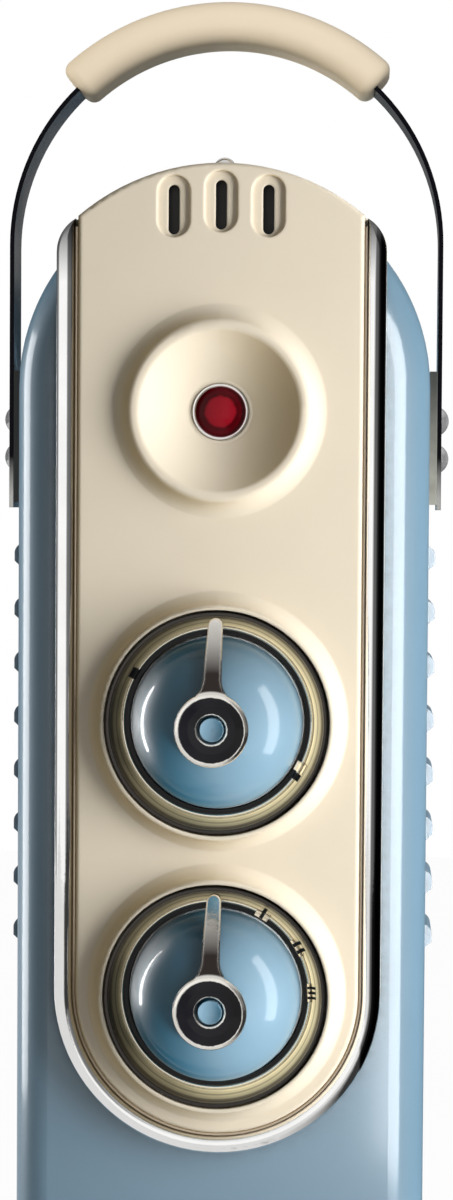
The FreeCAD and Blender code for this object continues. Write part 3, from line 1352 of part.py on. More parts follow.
def make_outlet(doc, s):
    """Plate in the floor of the cover with the cord's gland."""
    plate = new_body(doc, "outlet_plate")
    half = s.outlet_width / 2
    front = s.outlet_depth - s.outlet_length / 2
    back = s.outlet_depth + s.outlet_length / 2
    low = s.cover_bottom - s.outlet_wall
    drawing = sketch(plate, "outlet_rim", "plan", low)
    lip = s.outlet_lip
    box_outline(drawing, -half - lip, half + lip, front - lip, back + lip)
    pad(plate, "outlet_rim_pad", drawing, s.outlet_wall)
    drawing = sketch(plate, "outlet_plug", "plan", s.cover_bottom)
    gap = s.slip / 2
    box_outline(drawing, gap - half, half - gap, front + gap, back - gap)
    pad(plate, "outlet_plug_pad", drawing, 4)
    drawing = sketch(plate, "outlet_hole", "plan", s.cover_bottom + 5)
    circle(drawing, 0, s.outlet_depth, s.gland_radius)
    pocket(plate, "outlet_hole_cut", drawing, 6 + s.outlet_wall)
    gland = new_body(doc, "cord_gland")
    drawing = sketch(gland, "gland_profile", "front", s.outlet_depth)
    high = s.cover_bottom + 7
    r = s.gland_radius
    outline(drawing, [
        (s.gland_bore, low - s.gland_drop), (r - 1.2, low - s.gland_drop), (r, low - 3), (r + 2.2, low - 3),
        (r + 2.2, low), (r, low), (r, high), (s.gland_bore, high),
    ])
    spin(gland, "gland_body", drawing, "V_Axis")
    return [place(plate, 0, s.shift), place(gland, 0, s.shift)]


def make_feet(doc, s):
    """Two foot bars under the fins, clamped to the lower gallery by rods and wing nuts."""
    parts = []
    rods = []
    nuts = []
    for label, level in zip(("front", "rear"), s.foot_levels):
        parts.append(place(make_foot(doc, s, f"{label}_foot_bar"), 0, s.shift + level))
        x = s.gallery_radius + s.rod_radius + s.slip
        pieces = []
        for side, name in ((-1, "left"), (1, "right")):
            foot = s.foot_low + 2
            title = f"{label}_rod_{name}"
            pieces.append(cylinder(doc, title, s.rod_radius, s.gallery_low - foot, "z", side * x, level, foot))
            nuts.append(make_wing_nut(doc, s, f"{label}_wing_nut_{name}", side * x, level))
        arch = doc.addObject("Part::Torus", f"{label}_rod_arch")
        bind(arch, "Radius1", x)
        bind(arch, "Radius2", s.rod_radius)
        arch.Angle3 = 180
        turn = FreeCAD.Rotation(Vector(1, 0, 0), 90)
        pieces.append(place(arch, 0, level, s.gallery_low, turn))
        rods.append(fuse(doc, f"{label}_rod", pieces))
    parts.append(place(group(doc, "u_bolts", rods), 0, s.shift))
    parts.append(place(group(doc, "wing_nuts", nuts), 0, s.shift))
    return parts


def make_foot(doc, s, name):
    """Foot bar: a channel with round ends, open underneath, with a socket at each end."""
    body = new_body(doc, name)
    drawing = sketch(body, f"{name}_outline", "plan", s.foot_low)
    bar_outline(drawing, s.foot_width / 2, s.foot_depth / 2)
    pad(body, f"{name}_bar", drawing, s.foot_rise)
    drawing = sketch(body, f"{name}_hollow", "plan", s.foot_low)
    bar_outline(drawing, s.foot_width / 2 - s.foot_wall, s.foot_depth / 2 - s.foot_wall)
    hollow = pocket(body, f"{name}_hollow_cut", drawing, s.foot_rise - s.foot_wall)
    hollow.Reversed = True
    drawing = sketch(body, f"{name}_sockets", "plan", s.foot_low)
    for side in (-1, 1):
        circle(drawing, side * s.castor_reach, 0, s.stem_radius + 4)
    pad(body, f"{name}_socket_pads", drawing, s.foot_rise - s.foot_wall / 2)
    drawing = sketch(body, f"{name}_socket_bores", "plan", s.foot_low + s.stem_rise + s.slip)
    for side in (-1, 1):
        circle(drawing, side * s.castor_reach, 0, s.stem_radius + s.running)
    pocket(body, f"{name}_socket_cut", drawing, s.stem_rise + 1)
    drawing = sketch(body, f"{name}_rod_holes", "plan", s.foot_top + 1)
    for side in (-1, 1):
        circle(drawing, side * (s.gallery_radius + s.rod_radius + s.slip), 0, s.rod_radius + s.slip)
    pocket(body, f"{name}_rod_cut", drawing, s.foot_wall + 2)
    return body


def bar_outline(drawing, reach, half):
    """Draw a long outline with round ends, along the sketch's first direction."""
    flat = reach - half
    outline(drawing, [(-flat, -half), (flat, -half), (reach, 0, half), (flat, half, half),
                      (-flat, half), (-reach, 0, half), (-flat, -half, half)])


def make_wing_nut(doc, s, name, x, level):
    """Wing nut under the web of a foot bar."""
    top = s.foot_top - s.foot_wall
    low = top - 5
    hub = cylinder(doc, f"{name}_hub", s.rod_radius + 2.2, 5, "z", x, level, low)
    x = as_size(x)
    wings = block(doc, f"{name}_wings", x - 10, x + 10, level - 1, level + 1, low, top - 1)
    solid = fuse(doc, f"{name}_solid", [hub, wings])
    bore = cylinder(doc, f"{name}_bore", s.rod_radius + s.running, 7, "z", x, level, low - 1)
    return cut(doc, name, solid, bore)


def make_castor(doc, s, corner):
    """One castor: fork with its stem, axle and wheel."""
    side, row = CORNERS[corner]
    spot = (side * s.castor_reach, s.shift + s.foot_levels[row])
    fork = new_body(doc, f"castor_fork_{corner}")
    inner = s.wheel_width / 2 + s.wheel_play
    outer = inner + s.fork_wall
    top = s.fork_top
    axle = s.wheel_radius
    drawing = sketch(fork, f"fork_side_{corner}", "side")
    ear = s.axle_radius + 4.5
    outline(drawing, [
        (-outer, top), (-outer, top - 8), (s.wheel_trail - ear, axle), (s.wheel_trail, axle - ear, ear),
        (s.wheel_trail + ear, axle, ear), (outer + 2, top - 8), (outer + 2, top),
    ])
    pad(fork, f"fork_block_{corner}", drawing, 2 * outer, both=True)
    drawing = sketch(fork, f"fork_slot_{corner}", "front", -3 * outer)
    box_outline(drawing, -inner, inner, 0, 2 * s.wheel_radius + 3)
    pocket(fork, f"fork_slot_cut_{corner}", drawing, 8 * outer)
    drawing = sketch(fork, f"fork_stem_{corner}", "plan", top - 1)
    circle(drawing, 0, 0, s.stem_radius)
    pad(fork, f"fork_stem_pad_{corner}", drawing, s.stem_rise + 1)
    drawing = sketch(fork, f"fork_bore_{corner}", "side")
    circle(drawing, s.wheel_trail, axle, s.axle_radius)
    pocket(fork, f"fork_bore_cut_{corner}", drawing, 3 * outer, both=True)
    parts = [place(fork, *spot)]
    pin_body = new_body(doc, f"castor_axle_{corner}")
    drawing = sketch(pin_body, f"axle_outline_{corner}", "side")
    circle(drawing, 0, 0, s.axle_radius)
    pad(pin_body, f"axle_bar_{corner}", drawing, 2 * outer, both=True)
    wheel = new_body(doc, f"castor_wheel_{corner}")
    drawing = sketch(wheel, f"wheel_profile_{corner}", "plan")
    half = s.wheel_width / 2
    r = s.wheel_radius
    bore = s.axle_radius + s.running
    outline(drawing, [
        (-half, bore), (half, bore), (half, bore + 4), (half - 4, bore + 5), (half - 4, r - 5), (half - 1, r - 4),
        (half - 1, r - 2.5), (half - 3.5, r, 2.5), (3.5 - half, r), (1 - half, r - 2.5, 2.5), (1 - half, r - 4),
        (4 - half, r - 5), (4 - half, bore + 5), (-half, bore + 4),
    ])
    spin(wheel, f"wheel_body_{corner}", drawing)
    for item in (pin_body, wheel):
        parts.append(place(item, spot[0], spot[1] + s.wheel_trail, axle))
    return parts


def write_parts(doc, parts):
    """Check every piece and write one file for each."""
    for item in doc.Objects:
        faults = [state for state in item.State if state in ("Invalid", "Error")]
        if faults:
            raise RuntimeError(f"{item.Label}: {faults} {item.getStatusString()}")
    os.makedirs("parts", exist_ok=True)
    for item in parts:
        if item.Shape.isNull() or not item.Shape.isValid():
            raise RuntimeError(f"{item.Label}: bad shape")
        item.Shape.exportStep(f"parts/{item.Label}.step")
        print(f"{item.Label}: {len(item.Shape.Solids)} solids, {item.Shape.Volume:.0f} mm3")


def main():
    """Build the radiator and write its pieces."""
    doc = FreeCAD.newDocument("oil_filled_radiator")
    s = derive(make_sheet(doc))
    parts = make_cover(doc, s) + make_panel(doc, s) + make_moulding(doc, s) + make_lamp(doc, s)
    parts += make_dial(doc, s, "thermostat", s.upper_knob) + make_dial(doc, s, "selector", s.lower_knob)
    parts += make_controls(doc, s) + make_screws(doc, s) + make_handle(doc, s)
    parts += make_shield(doc, s) + make_terminals(doc, s) + make_heater(doc, s)
    parts += make_fins(doc, s) + make_outlet(doc, s) + make_feet(doc, s)
    for corner in CORNERS:
        parts += make_castor(doc, s, corner)
    doc.recompute()
    write_parts(doc, parts)


main()
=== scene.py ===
"""Looks of an oil-filled radiator: finishes, dial marks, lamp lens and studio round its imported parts."""

import json
import logging
import math
from dataclasses import dataclass, replace
from enum import Enum
from functools import cache
from typing import Callable, Sequence, Union

import bpy
from mathutils import Matrix, Vector


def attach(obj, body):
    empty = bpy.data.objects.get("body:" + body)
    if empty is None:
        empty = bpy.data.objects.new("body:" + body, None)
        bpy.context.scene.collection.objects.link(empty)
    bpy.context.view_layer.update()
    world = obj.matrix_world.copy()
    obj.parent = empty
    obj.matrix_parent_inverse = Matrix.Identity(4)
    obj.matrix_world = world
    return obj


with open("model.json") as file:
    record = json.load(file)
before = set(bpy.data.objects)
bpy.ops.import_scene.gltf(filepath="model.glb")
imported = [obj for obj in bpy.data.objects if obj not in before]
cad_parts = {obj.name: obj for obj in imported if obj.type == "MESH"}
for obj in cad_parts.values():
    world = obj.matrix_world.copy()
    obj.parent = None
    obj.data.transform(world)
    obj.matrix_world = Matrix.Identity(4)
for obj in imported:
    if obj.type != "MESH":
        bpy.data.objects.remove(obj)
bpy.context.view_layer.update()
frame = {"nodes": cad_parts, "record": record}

LOG = logging.getLogger("radiator")

# Places on the radiator, in metres.
PANEL_PLANE = -0.1526
UPPER_KNOB = 0.3933
LOWER_KNOB = 0.2947
LAMP_HEIGHT = 0.505

# A hair's width in metres, the way to the key light that the painted side shading reads, and the turn that
# makes a new piece face the front.
HAIR = 0.0001
WINDOW = (0.88, -0.47, 0.06)
UPRIGHT = (math.pi / 2, 0, 0)

# Ranges that recur: most values of a noise pattern, none to all, and all to none.
NOISE = (0.3, 0.7)
RISING = (0.0, 1.0)
FALLING = (1.0, 0.0)

WHITE = (1.0, 1.0, 1.0)
# Near-black of the painted shade in the corners of black parts.
SHADE_BLACK = (0.01, 0.01, 0.01)

Colour = tuple[float, float, float]
Spot = tuple[float, float, float]
Range = tuple[float, float]
Stops = Sequence[Range]
Socket = bpy.types.NodeSocket
Feed = Union[Socket, float, Sequence[float]]
Piece = bpy.types.Object


def linear(*display: int) -> Colour:
    """Turns a display colour, from 0 to 255, into scene-linear values."""
    parts = [level / 255 for level in display]
    return tuple(part / 12.92 if part <= 0.04045 else ((part + 0.055) / 1.055) ** 2.4 for part in parts)


def toned(colour: Colour, share: float, lift: float = 0.0) -> Colour:
    """Keeps a share of a colour and lifts it by a level."""
    return tuple(share * level + lift for level in colour)


# Material slots of the record, and the kinds of group socket by name; other sockets hold a plain number.
Slot = Enum("Slot", {row["slot"].upper(): row["slot"] for row in frame["record"]["materials"]})
SOCKET_KINDS = {"Place": "NodeSocketVector", "Normal": "NodeSocketVector", "Colour": "NodeSocketColor"}


@dataclass
class Bench:
    """Places and wires the nodes of one tree."""

    tree: bpy.types.NodeTree

    def put(self, kind: str, inputs: dict | None = None, **settings: object) -> bpy.types.Node:
        """Adds a node.

        Args:
            kind: the node's type, without the word that all shader nodes share.
            inputs: input names or numbers, each with a value or a socket to link.
            settings: attributes of the node.

        Returns:
            The new node.
        """
        node = self.tree.nodes.new("ShaderNode" + kind)
        for name, value in settings.items():
            setattr(node, name, value)
        for name, value in (inputs or {}).items():
            self.feed(node.inputs[name], value)
        return node

    def feed(self, socket: Socket, value: Feed) -> None:
        """Sets a socket's value, or links it.

        Args:
            socket: the input socket.
            value: a number, a row of numbers or an output socket.
        """
        if isinstance(value, Socket):
            self.tree.links.new(value, socket)
            return
        if socket.type == "RGBA" and len(value) == 3:
            value = (*value, 1.0)
        socket.default_value = value

    def mix(self, factor: Feed, first: Feed, second: Feed) -> Socket:
        """Mixes two colours; the factor is the share of the second."""
        return self.put("Mix", {0: factor, 6: first, 7: second}, data_type="RGBA").outputs[2]

    def work(self, operation: str, first: Feed, second: Feed = 0.0) -> Socket:
        """Does one named sum and gives its result."""
        return self.put("Math", {0: first, 1: second}, operation=operation).outputs[0]

    def times(self, first: Feed, second: Feed) -> Socket:
        """Multiplies two numbers."""
        return self.work("MULTIPLY", first, second)

    def span(self, value: Feed, source: Range, target: Range = RISING) -> Socket:
        """Stretches the range that a value comes in onto another, clamped."""
        inputs = {0: value, 1: source[0], 2: source[1], 3: target[0], 4: target[1]}
        return self.put("MapRange", inputs).outputs[0]

    def ramp(self, value: Feed, stops: Stops) -> Socket:
        """Reads a level off a row of stops.

        Args:
            value: place along the row, from 0 to 1.
            stops: places and levels, in order.

        Returns:
            The level.
        """
        node = self.put("ValToRGB", {0: value})
        points = node.color_ramp.elements
        points[0].position, points[1].position = stops[0][0], stops[-1][0]
        for place, _ in stops[1:-1]:
            points.new(place)
        for point, (_, level) in zip(points, stops):
            point.color = (level, level, level, 1.0)
        return node.outputs[0]

    def noise(self, vector: Feed, scale: Feed, detail: float = 2.0, rough: float = 0.5) -> Socket:
        """Adds a noise pattern, in cells per metre, and gives its value."""
        inputs = {"Vector": vector, "Scale": scale, "Detail": detail, "Roughness": rough}
        return self.put("TexNoise", inputs).outputs[0]

    def group(self, fill: Callable, spot: Socket, **inputs: Feed) -> bpy.types.NodeOutputs:
        """Puts a shared effect into the tree.

        Args:
            fill: the effect's method.
            spot: coordinates that the effect is read at, where it needs them.
            inputs: its other input values.

        Returns:
            The effect's outputs.
        """
        node = self.put("Group", node_tree=group_of(fill))
        if "Place" in node.inputs:
            self.feed(node.inputs["Place"], spot)
        for name, value in inputs.items():
            self.feed(node.inputs[name.capitalize()], value)
        return node.outputs


class Effects(Bench):
    """Bench of a node group that several finishes share; each effect is a method that fills its group."""

    # Ranges and factors of the effects below.
    AWAY = (0.4, -0.3)
    TOWARD = (0.52, 1.0)
    PALING = (0.0, -0.12)
    FINER = 3.7
    FINE_SHARE = 0.5
    WIDER = 2.2
    SHARP = (0.99, 0.72)
    SHUT = (0.85, 0.25)
    PATCHES = (0.55, 1.0)
    HAIRLINE = (0.68, 0.76)
    LEANS = ((0.5, (1.0, 14.0, 1.0)), (-0.7, (14.0, 1.0, 1.0)), (1.2, (1.0, 1.0, 16.0)))
    TILT = 0.6

    def ends(self, inputs: Sequence[str], outputs: Sequence[str]) -> tuple:
        """Makes the group's sockets and its end nodes.

        Args:
            inputs: input names.
            outputs: output names.

        Returns:
            The sockets to read from and the sockets to write to.
        """
        for way, names in (("INPUT", inputs), ("OUTPUT", outputs)):
            for name in names:
                kind = SOCKET_KINDS.get(name, "NodeSocketFloat")
                self.tree.interface.new_socket(name, in_out=way, socket_type=kind)
        start = self.tree.nodes.new("NodeGroupInput")
        stop = self.tree.nodes.new("NodeGroupOutput")
        return start.outputs, stop.inputs

    def mottle(self) -> None:
        """Lets a colour drift lighter and darker over the surface."""
        source, target = self.ends(("Place", "Colour", "Scale", "Amount"), ("Colour", "Mask"))
        broad = self.noise(source["Place"], source["Scale"], detail=3.0, rough=0.55)
        swing = self.span(broad, NOISE, (-1.0, 1.0))
        level = self.work("ADD", self.times(swing, source["Amount"]), 1.0)
        shifted = self.put("HueSaturation", {"Color": source["Colour"], "Value": level})
        self.feed(target["Colour"], shifted.outputs[0])
        self.feed(target["Mask"], broad)

    def lit_side(self) -> None:
        """Paints shading: deepens a colour on the side that faces away from the key light and pales it on the
        side that faces it.
        """
        source, target = self.ends(("Colour", "Depth"), ("Colour",))
        facing = self.put("NewGeometry").outputs["Normal"]
        toward = self.put("VectorMath", {0: facing, 1: WINDOW}, operation="DOT_PRODUCT").outputs["Value"]
        away = self.span(toward, self.AWAY)
        near = self.span(toward, self.TOWARD, self.PALING)
        swing = self.times(self.work("ADD", away, near), source["Depth"])
        level = self.work("ADD", swing, 1.0)
        shifted = self.put("HueSaturation", {"Color": source["Colour"], "Saturation": level})
        self.feed(target["Colour"], shifted.outputs[0])

    def fine_grain(self) -> None:
        """Gives a fine two-layer surface grain."""
        source, target = self.ends(("Place", "Scale"), ("Height",))
        coarse = self.noise(source["Place"], source["Scale"], detail=1.0)
        fine = self.noise(source["Place"], self.times(source["Scale"], self.FINER))
        both = self.work("ADD", coarse, self.times(fine, self.FINE_SHARE))
        self.feed(target["Height"], both)

    def edge_wear(self) -> None:
        """Rounds sharp edges and marks where they are."""
        source, target = self.ends(("Radius",), ("Normal", "Mask"))
        soft = self.put("Bevel", {"Radius": source["Radius"]}, samples=6)
        wide_radius = self.times(source["Radius"], self.WIDER)
        wide = self.put("Bevel", {"Radius": wide_radius}, samples=4)
        facing = self.put("NewGeometry").outputs["True Normal"]
        match = self.put("VectorMath", {0: wide.outputs[0], 1: facing}, operation="DOT_PRODUCT")
        mask = self.span(match.outputs["Value"], self.SHARP)
        self.feed(target["Normal"], soft.outputs[0])
        self.feed(target["Mask"], mask)

    def crevices(self) -> None:
        """Marks corners that nearby surfaces hide: where dust and tarnish settle, and where painted shade or
        plain darkening goes.
        """
        source, target = self.ends(("Place", "Reach"), ("Mask",))
        shut = self.put("AmbientOcclusion", {"Distance": source["Reach"]}, samples=6)
        hidden = self.span(shut.outputs["AO"], self.SHUT)
        patchy = self.span(self.noise(source["Place"], scale=220.0, detail=3.0), NOISE, self.PATCHES)
        self.feed(target["Mask"], self.times(hidden, patchy))

    def scratches(self) -> None:
        """Draws faint handling marks."""
        source, target = self.ends(("Place", "Scale"), ("Mask",))
        marks = None
        for turn, stretch in self.LEANS:
            angles = (turn, turn * self.TILT, turn)
            lean = self.put("Mapping", {0: source["Place"], "Rotation": angles, "Scale": stretch})
            lines = self.noise(lean.outputs[0], source["Scale"])
            thin = self.span(lines, self.HAIRLINE)
            marks = thin if marks is None else self.work("MAXIMUM", marks, thin)
        self.feed(target["Mask"], marks)


@cache
def group_of(fill: Callable[[Effects], None]) -> bpy.types.NodeTree:
    """Gives an effect's group, made the first time.

    Args:
        fill: the effect's method.

    Returns:
        The group.
    """
    tree = bpy.data.node_groups.new(fill.__name__, "ShaderNodeTree")
    fill(Effects(tree))
    return tree


@dataclass
class Skin(Bench):
    """Bench of one material, with its surface shader and the object's own coordinates."""

    shader: bpy.types.Node
    place: Socket

    def give(self, socket: str, value: Feed) -> None:
        """Sets or links one of the shader's sockets."""
        self.feed(self.shader.inputs[socket], value)

    def fed(self, socket: str) -> Socket:
        """Gives what is linked to one of the shader's sockets."""
        return self.shader.inputs[socket].links[0].from_socket

    def effect(self, fill: Callable, **inputs: Feed) -> bpy.types.NodeOutputs:
        """Puts a shared effect into the material and gives its outputs."""
        return self.group(fill, self.place, **inputs)

    def bump(self, height: Feed, normal: Feed, strength: float, distance: float) -> None:
        """Lays a fine relief over a surface whose edges are softened."""
        inputs = {"Strength": strength, "Distance": distance, "Height": height, "Normal": normal}
        self.give("Normal", self.put("Bump", inputs).outputs[0])

    def reach(self, height: float) -> Socket:
        """Measures how far the surface lies from a level axis that runs from front to back.

        Args:
            height: height of the axis.

        Returns:
            The distance in metres.
        """
        axis = (0.0, 0.0, height)
        offset = self.put("VectorMath", {0: self.place, 1: axis}, operation="SUBTRACT").outputs[0]
        flat = self.put("VectorMath", {0: offset, 1: (1.0, 0.0, 1.0)}, operation="MULTIPLY").outputs[0]
        return self.put("VectorMath", {0: flat}, operation="LENGTH").outputs["Value"]


def clear_bench(owner: Union[bpy.types.Material, bpy.types.World]) -> Bench:
    """Clears the nodes of a material or a world.

    Args:
        owner: the material or world.

    Returns:
        A bench for its new nodes.
    """
    owner.use_nodes = True
    owner.node_tree.nodes.clear()
    return Bench(owner.node_tree)


class Finish:
    """A finish that makes one material."""

    def material(self, name: str) -> bpy.types.Material:
        """Makes the material.

        Args:
            name: the material's name.

        Returns:
            The material, with its nodes.
        """
        made = bpy.data.materials.new(name)
        bench = clear_bench(made)
        shader = bench.put("BsdfPrincipled")
        place = bench.put("TexCoord").outputs["Object"]
        self.dress(Skin(made.node_tree, shader, place))
        bench.put("OutputMaterial", {"Surface": shader.outputs[0]})
        return made

    def dress(self, skin: Skin) -> None:
        """Wires the nodes; every finish has its own way."""
        raise NotImplementedError


@dataclass(frozen=True)
class Enamel(Finish):
    """Stoved enamel on steel: gloss coat, faint orange peel and thin edges."""

    colour: Colour
    rough: float = 0.45
    coat: float = 0.4
    coat_rough: float = 0.1
    peel: float = 0.04
    peel_scale: float = 330.0
    swing: float = 0.04
    shine: float = 0.2
    edge: float = 0.25
    dust: float = 0.1
    dust_colour: Colour = (0.42, 0.40, 0.37)
    thick_dust: float = 0.3
    shade: float = 0.0
    shade_colour: Colour = (0.012, 0.009, 0.008)
    # How strongly the painted side shading deepens and pales the colour.
    depth: float = 0.45

    def dress(self, skin: Skin) -> None:
        """Wires paint, thin edges, dust, painted shade in deep hollows, painted side shading and peel.

        Args:
            skin: the material's surface.
        """
        drift = skin.effect(Effects.mottle, colour=self.colour, scale=14.0, amount=0.025)
        edges = skin.effect(Effects.edge_wear, radius=0.0006)
        dust = skin.effect(Effects.crevices, reach=0.008)
        pale = toned(self.colour, share=0.55, lift=0.35)
        thin = skin.mix(skin.times(edges["Mask"], self.edge), drift["Colour"], pale)
        dusty = skin.times(dust["Mask"], self.dust)
        grimed = skin.mix(dusty, thin, self.dust_colour)
        # Painted shade: deep hollows darken towards the shade colour, by the share in shade.
        deep = skin.effect(Effects.crevices, reach=0.02)
        shaded = skin.times(deep["Mask"], self.shade)
        sided = skin.effect(Effects.lit_side, colour=grimed, depth=self.depth)
        skin.give("Base Color", skin.mix(shaded, sided["Colour"], self.shade_colour))
        level = skin.span(drift["Mask"], NOISE, (self.rough - self.swing, self.rough + self.swing))
        skin.give("Roughness", skin.work("ADD", level, dusty))
        skin.give("Coat Weight", skin.span(dusty, (0.0, self.thick_dust), (self.coat, self.coat / 2)))
        skin.give("Coat Roughness", self.coat_rough)
        skin.give("Specular IOR Level", self.shine)
        grain = skin.effect(Effects.fine_grain, scale=self.peel_scale)
        skin.bump(grain["Height"], edges["Normal"], strength=self.peel, distance=0.0004)


@dataclass(frozen=True)
class Plastic(Finish):
    """Moulded plastic: fine spark-eroded grain, painted warm shade in corners and softened edges."""

    colour: Colour
    rough: float = 0.4
    swing: float = 0.05
    coat: float = 0.0
    coat_rough: float = 0.1
    shine: float = 0.35
    grain: float = 0.12
    grain_scale: float = 1500.0
    # Colour of the painted shade in corners, and its share.
    corner: Colour = (0.3, 0.22, 0.12)
    corner_share: float = 0.2
    edge: float = 0.15
    reach: float = 0.012
    soft: float = 0.0005
    # How strongly the painted side shading deepens and pales the colour.
    depth: float = 0.5

    def trim(self, skin: Skin, colour: Feed) -> Feed:
        """Leaves the pigment as it is; a finish with a trim line changes it."""
        return colour

    def dress(self, skin: Skin) -> None:
        """Wires pigment, painted warm shade in corners, edges that wear pale, painted side shading and grain.

        Args:
            skin: the material's surface.
        """
        drift = skin.effect(Effects.mottle, colour=self.colour, scale=22.0, amount=0.02)
        edges = skin.effect(Effects.edge_wear, radius=self.soft)
        hollow = skin.effect(Effects.crevices, reach=self.reach)
        pale = toned(self.colour, share=0.7, lift=0.25)
        wear_and_sheen = skin.mix(skin.times(edges["Mask"], self.edge), drift["Colour"], pale)
        # Painted shade: hidden corners take on the corner colour.
        warm = skin.times(hollow["Mask"], self.corner_share)
        sided = skin.effect(Effects.lit_side, colour=skin.mix(warm, wear_and_sheen, self.corner), depth=self.depth)
        skin.give("Base Color", self.trim(skin, sided["Colour"]))
        level = skin.span(drift["Mask"], NOISE, (self.rough - self.swing, self.rough + self.swing))
        skin.give("Roughness", level)
        skin.give("Coat Weight", self.coat)
        skin.give("Coat Roughness", self.coat_rough)
        skin.give("Specular IOR Level", self.shine)
        grain = skin.effect(Effects.fine_grain, scale=self.grain_scale)
        skin.bump(grain["Height"], edges["Normal"], strength=self.grain, distance=0.0001)


@dataclass(frozen=True)
class Plating(Finish):
    """Plated metal: bright face, faint scratches, a little waviness and dull corners."""

    colour: Colour
    rough: float = 0.06
    scratch: float = 0.1
    wave: float = 0.04
    wave_scale: float = 120.0
    tarnish: Colour = (0.22, 0.19, 0.16)
    tarnish_share: float = 0.3
    tarnish_rough: float = 0.4
    smear: Range = (0.7, 1.4)
    metal: float = 1.0

    def dress(self, skin: Skin) -> None:
        """Wires metal, scratches, dull corners and waviness.

        Args:
            skin: the material's surface.
        """
        drift = skin.effect(Effects.mottle, colour=self.colour, scale=60.0, amount=0.03)
        edges = skin.effect(Effects.edge_wear, radius=0.0004)
        hollow = skin.effect(Effects.crevices, reach=0.004)
        marks = skin.effect(Effects.scratches, scale=700.0)
        dull = skin.times(hollow["Mask"], self.tarnish_share)
        skin.give("Base Color", skin.mix(dull, drift["Colour"], self.tarnish))
        skin.give("Metallic", self.metal)
        smear = skin.span(drift["Mask"], NOISE, tuple(self.rough * share for share in self.smear))
        marked = skin.times(marks["Mask"], self.scratch)
        total = skin.work("ADD", smear, skin.work("ADD", marked, skin.times(dull, self.tarnish_rough)))
        skin.give("Roughness", total)
        grain = skin.effect(Effects.fine_grain, scale=self.wave_scale)
        skin.bump(grain["Height"], edges["Normal"], strength=self.wave, distance=0.0005)


@dataclass(frozen=True)
class StrapMetal(Plating):
    """Dark plated strip with a painted dark reflection on its cut edges, turning to a painted grey sheen at
    its lower ends.
    """

    # Near-black of the painted dark reflection, and the edges that take it.
    cut: Colour = (0.006, 0.006, 0.008)
    cut_facing: Range = (0.6, 0.8)
    rubbed: Colour = (0.42, 0.42, 0.4)
    foot: float = 0.474
    rub_top: float = 0.489

    def dress(self, skin: Skin) -> None:
        """Wires the plating, then paints a dark reflection on the edges that face the front and the back,
        paling to a grey sheen at the lower ends.

        Args:
            skin: the material's surface.
        """
        super().dress(skin)
        facing = skin.put("SeparateXYZ", {0: skin.put("NewGeometry").outputs["True Normal"]}).outputs[1]
        edge = skin.span(skin.work("ABSOLUTE", facing), self.cut_facing)
        plated = skin.fed("Base Color")
        level = skin.put("SeparateXYZ", {0: skin.place}).outputs[2]
        wear_and_sheen = skin.span(level, (self.rub_top, self.foot))
        skin.give("Base Color", skin.mix(edge, plated, skin.mix(wear_and_sheen, self.cut, self.rubbed)))


@dataclass(frozen=True)
class MouldingMetal(Plating):
    """Chromed moulding with painted shade on its tops, and a painted grey and black reflection along its
    right limb's outer flank.
    """

    # Near-black of the painted dark reflection on the right limb.
    line: Colour = (0.012, 0.011, 0.012)
    flank: float = 0.0551
    width: float = 0.0024
    bands: Stops = ((0.0, 0.0), (0.25, 0.87), (0.75, 0.91), (1.0, 1.0))
    turn: float = LOWER_KNOB
    end: Range = (0.0518, 0.0526)
    smoke: Range = (0.551, 0.572)
    smoke_share: float = 0.85

    def dress(self, skin: Skin) -> None:
        """Wires the chrome, then lays the painted reflection and the painted shade over it.

        Args:
            skin: the material's surface.
        """
        super().dress(skin)
        across, _, level = skin.put("SeparateXYZ", {0: skin.place}).outputs
        drop = skin.work("MINIMUM", skin.work("SUBTRACT", level, self.turn), 0.0)
        spot = skin.put("CombineXYZ", {0: across, 2: drop}).outputs[0]
        limb = skin.put("VectorMath", {0: spot}, operation="LENGTH").outputs["Value"]
        outer = skin.ramp(skin.span(limb, (self.flank, self.flank + self.width)), self.bands)
        right = skin.span(across, self.end)
        plated = skin.fed("Base Color")
        # Painted shade darkens the tops.
        tops = skin.span(level, self.smoke, (0.0, self.smoke_share))
        dark = skin.work("MAXIMUM", skin.times(outer, right), tops)
        skin.give("Base Color", skin.mix(dark, plated, self.line))


@dataclass(frozen=True)
class PadRubber(Plastic):
    """Black rubber of a handle pad, with a painted grey sheen towards the lower end of the right one."""

    bloom: Colour = (0.34, 0.33, 0.28)
    heights: Range = (0.517, 0.476)
    height_shares: Range = (0.12, 1.0)
    sides: Range = (-0.07, 0.07)
    side_shares: Range = (0.1, 1.0)
    cloud: Range = (0.7, 1.0)

    def trim(self, skin: Skin, colour: Feed) -> Feed:
        """Lays the painted grey sheen over the rubber.

        Args:
            skin: the material's surface.
            colour: the rubber's colour.

        Returns:
            The rubber with its bloom.
        """
        across, _, level = skin.put("SeparateXYZ", {0: skin.place}).outputs
        low = skin.span(level, self.heights, self.height_shares)
        right = skin.span(across, self.sides, self.side_shares)
        cloud = skin.span(skin.noise(skin.place, scale=160.0), NOISE, self.cloud)
        return skin.mix(skin.times(skin.times(low, right), cloud), colour, self.bloom)


@dataclass(frozen=True)
class DomePlastic(Plastic):
    """Gloss plastic of a domed knob, with a painted highlight line round its foot."""

    height: float = UPPER_KNOB
    foot: float = 0.0308
    silver: Colour = (0.52, 0.54, 0.53)
    rub_noise: Range = (0.3, 0.6)
    rub: Range = (0.45, 1.0)

    def trim(self, skin: Skin, colour: Feed) -> Feed:
        """Lays the painted highlight line over the pigment.

        Args:
            skin: the material's surface.
            colour: the pigment.

        Returns:
            The pigment with the line.
        """
        reach = skin.reach(self.height)
        # Painted highlight: a patchy pale line round the dome's foot.
        rubbed = skin.span(skin.noise(skin.place, scale=420.0, detail=3.0), self.rub_noise, self.rub)
        line = skin.span(reach, (self.foot - HAIR, self.foot + HAIR))
        return skin.mix(skin.times(line, rubbed), colour, self.silver)


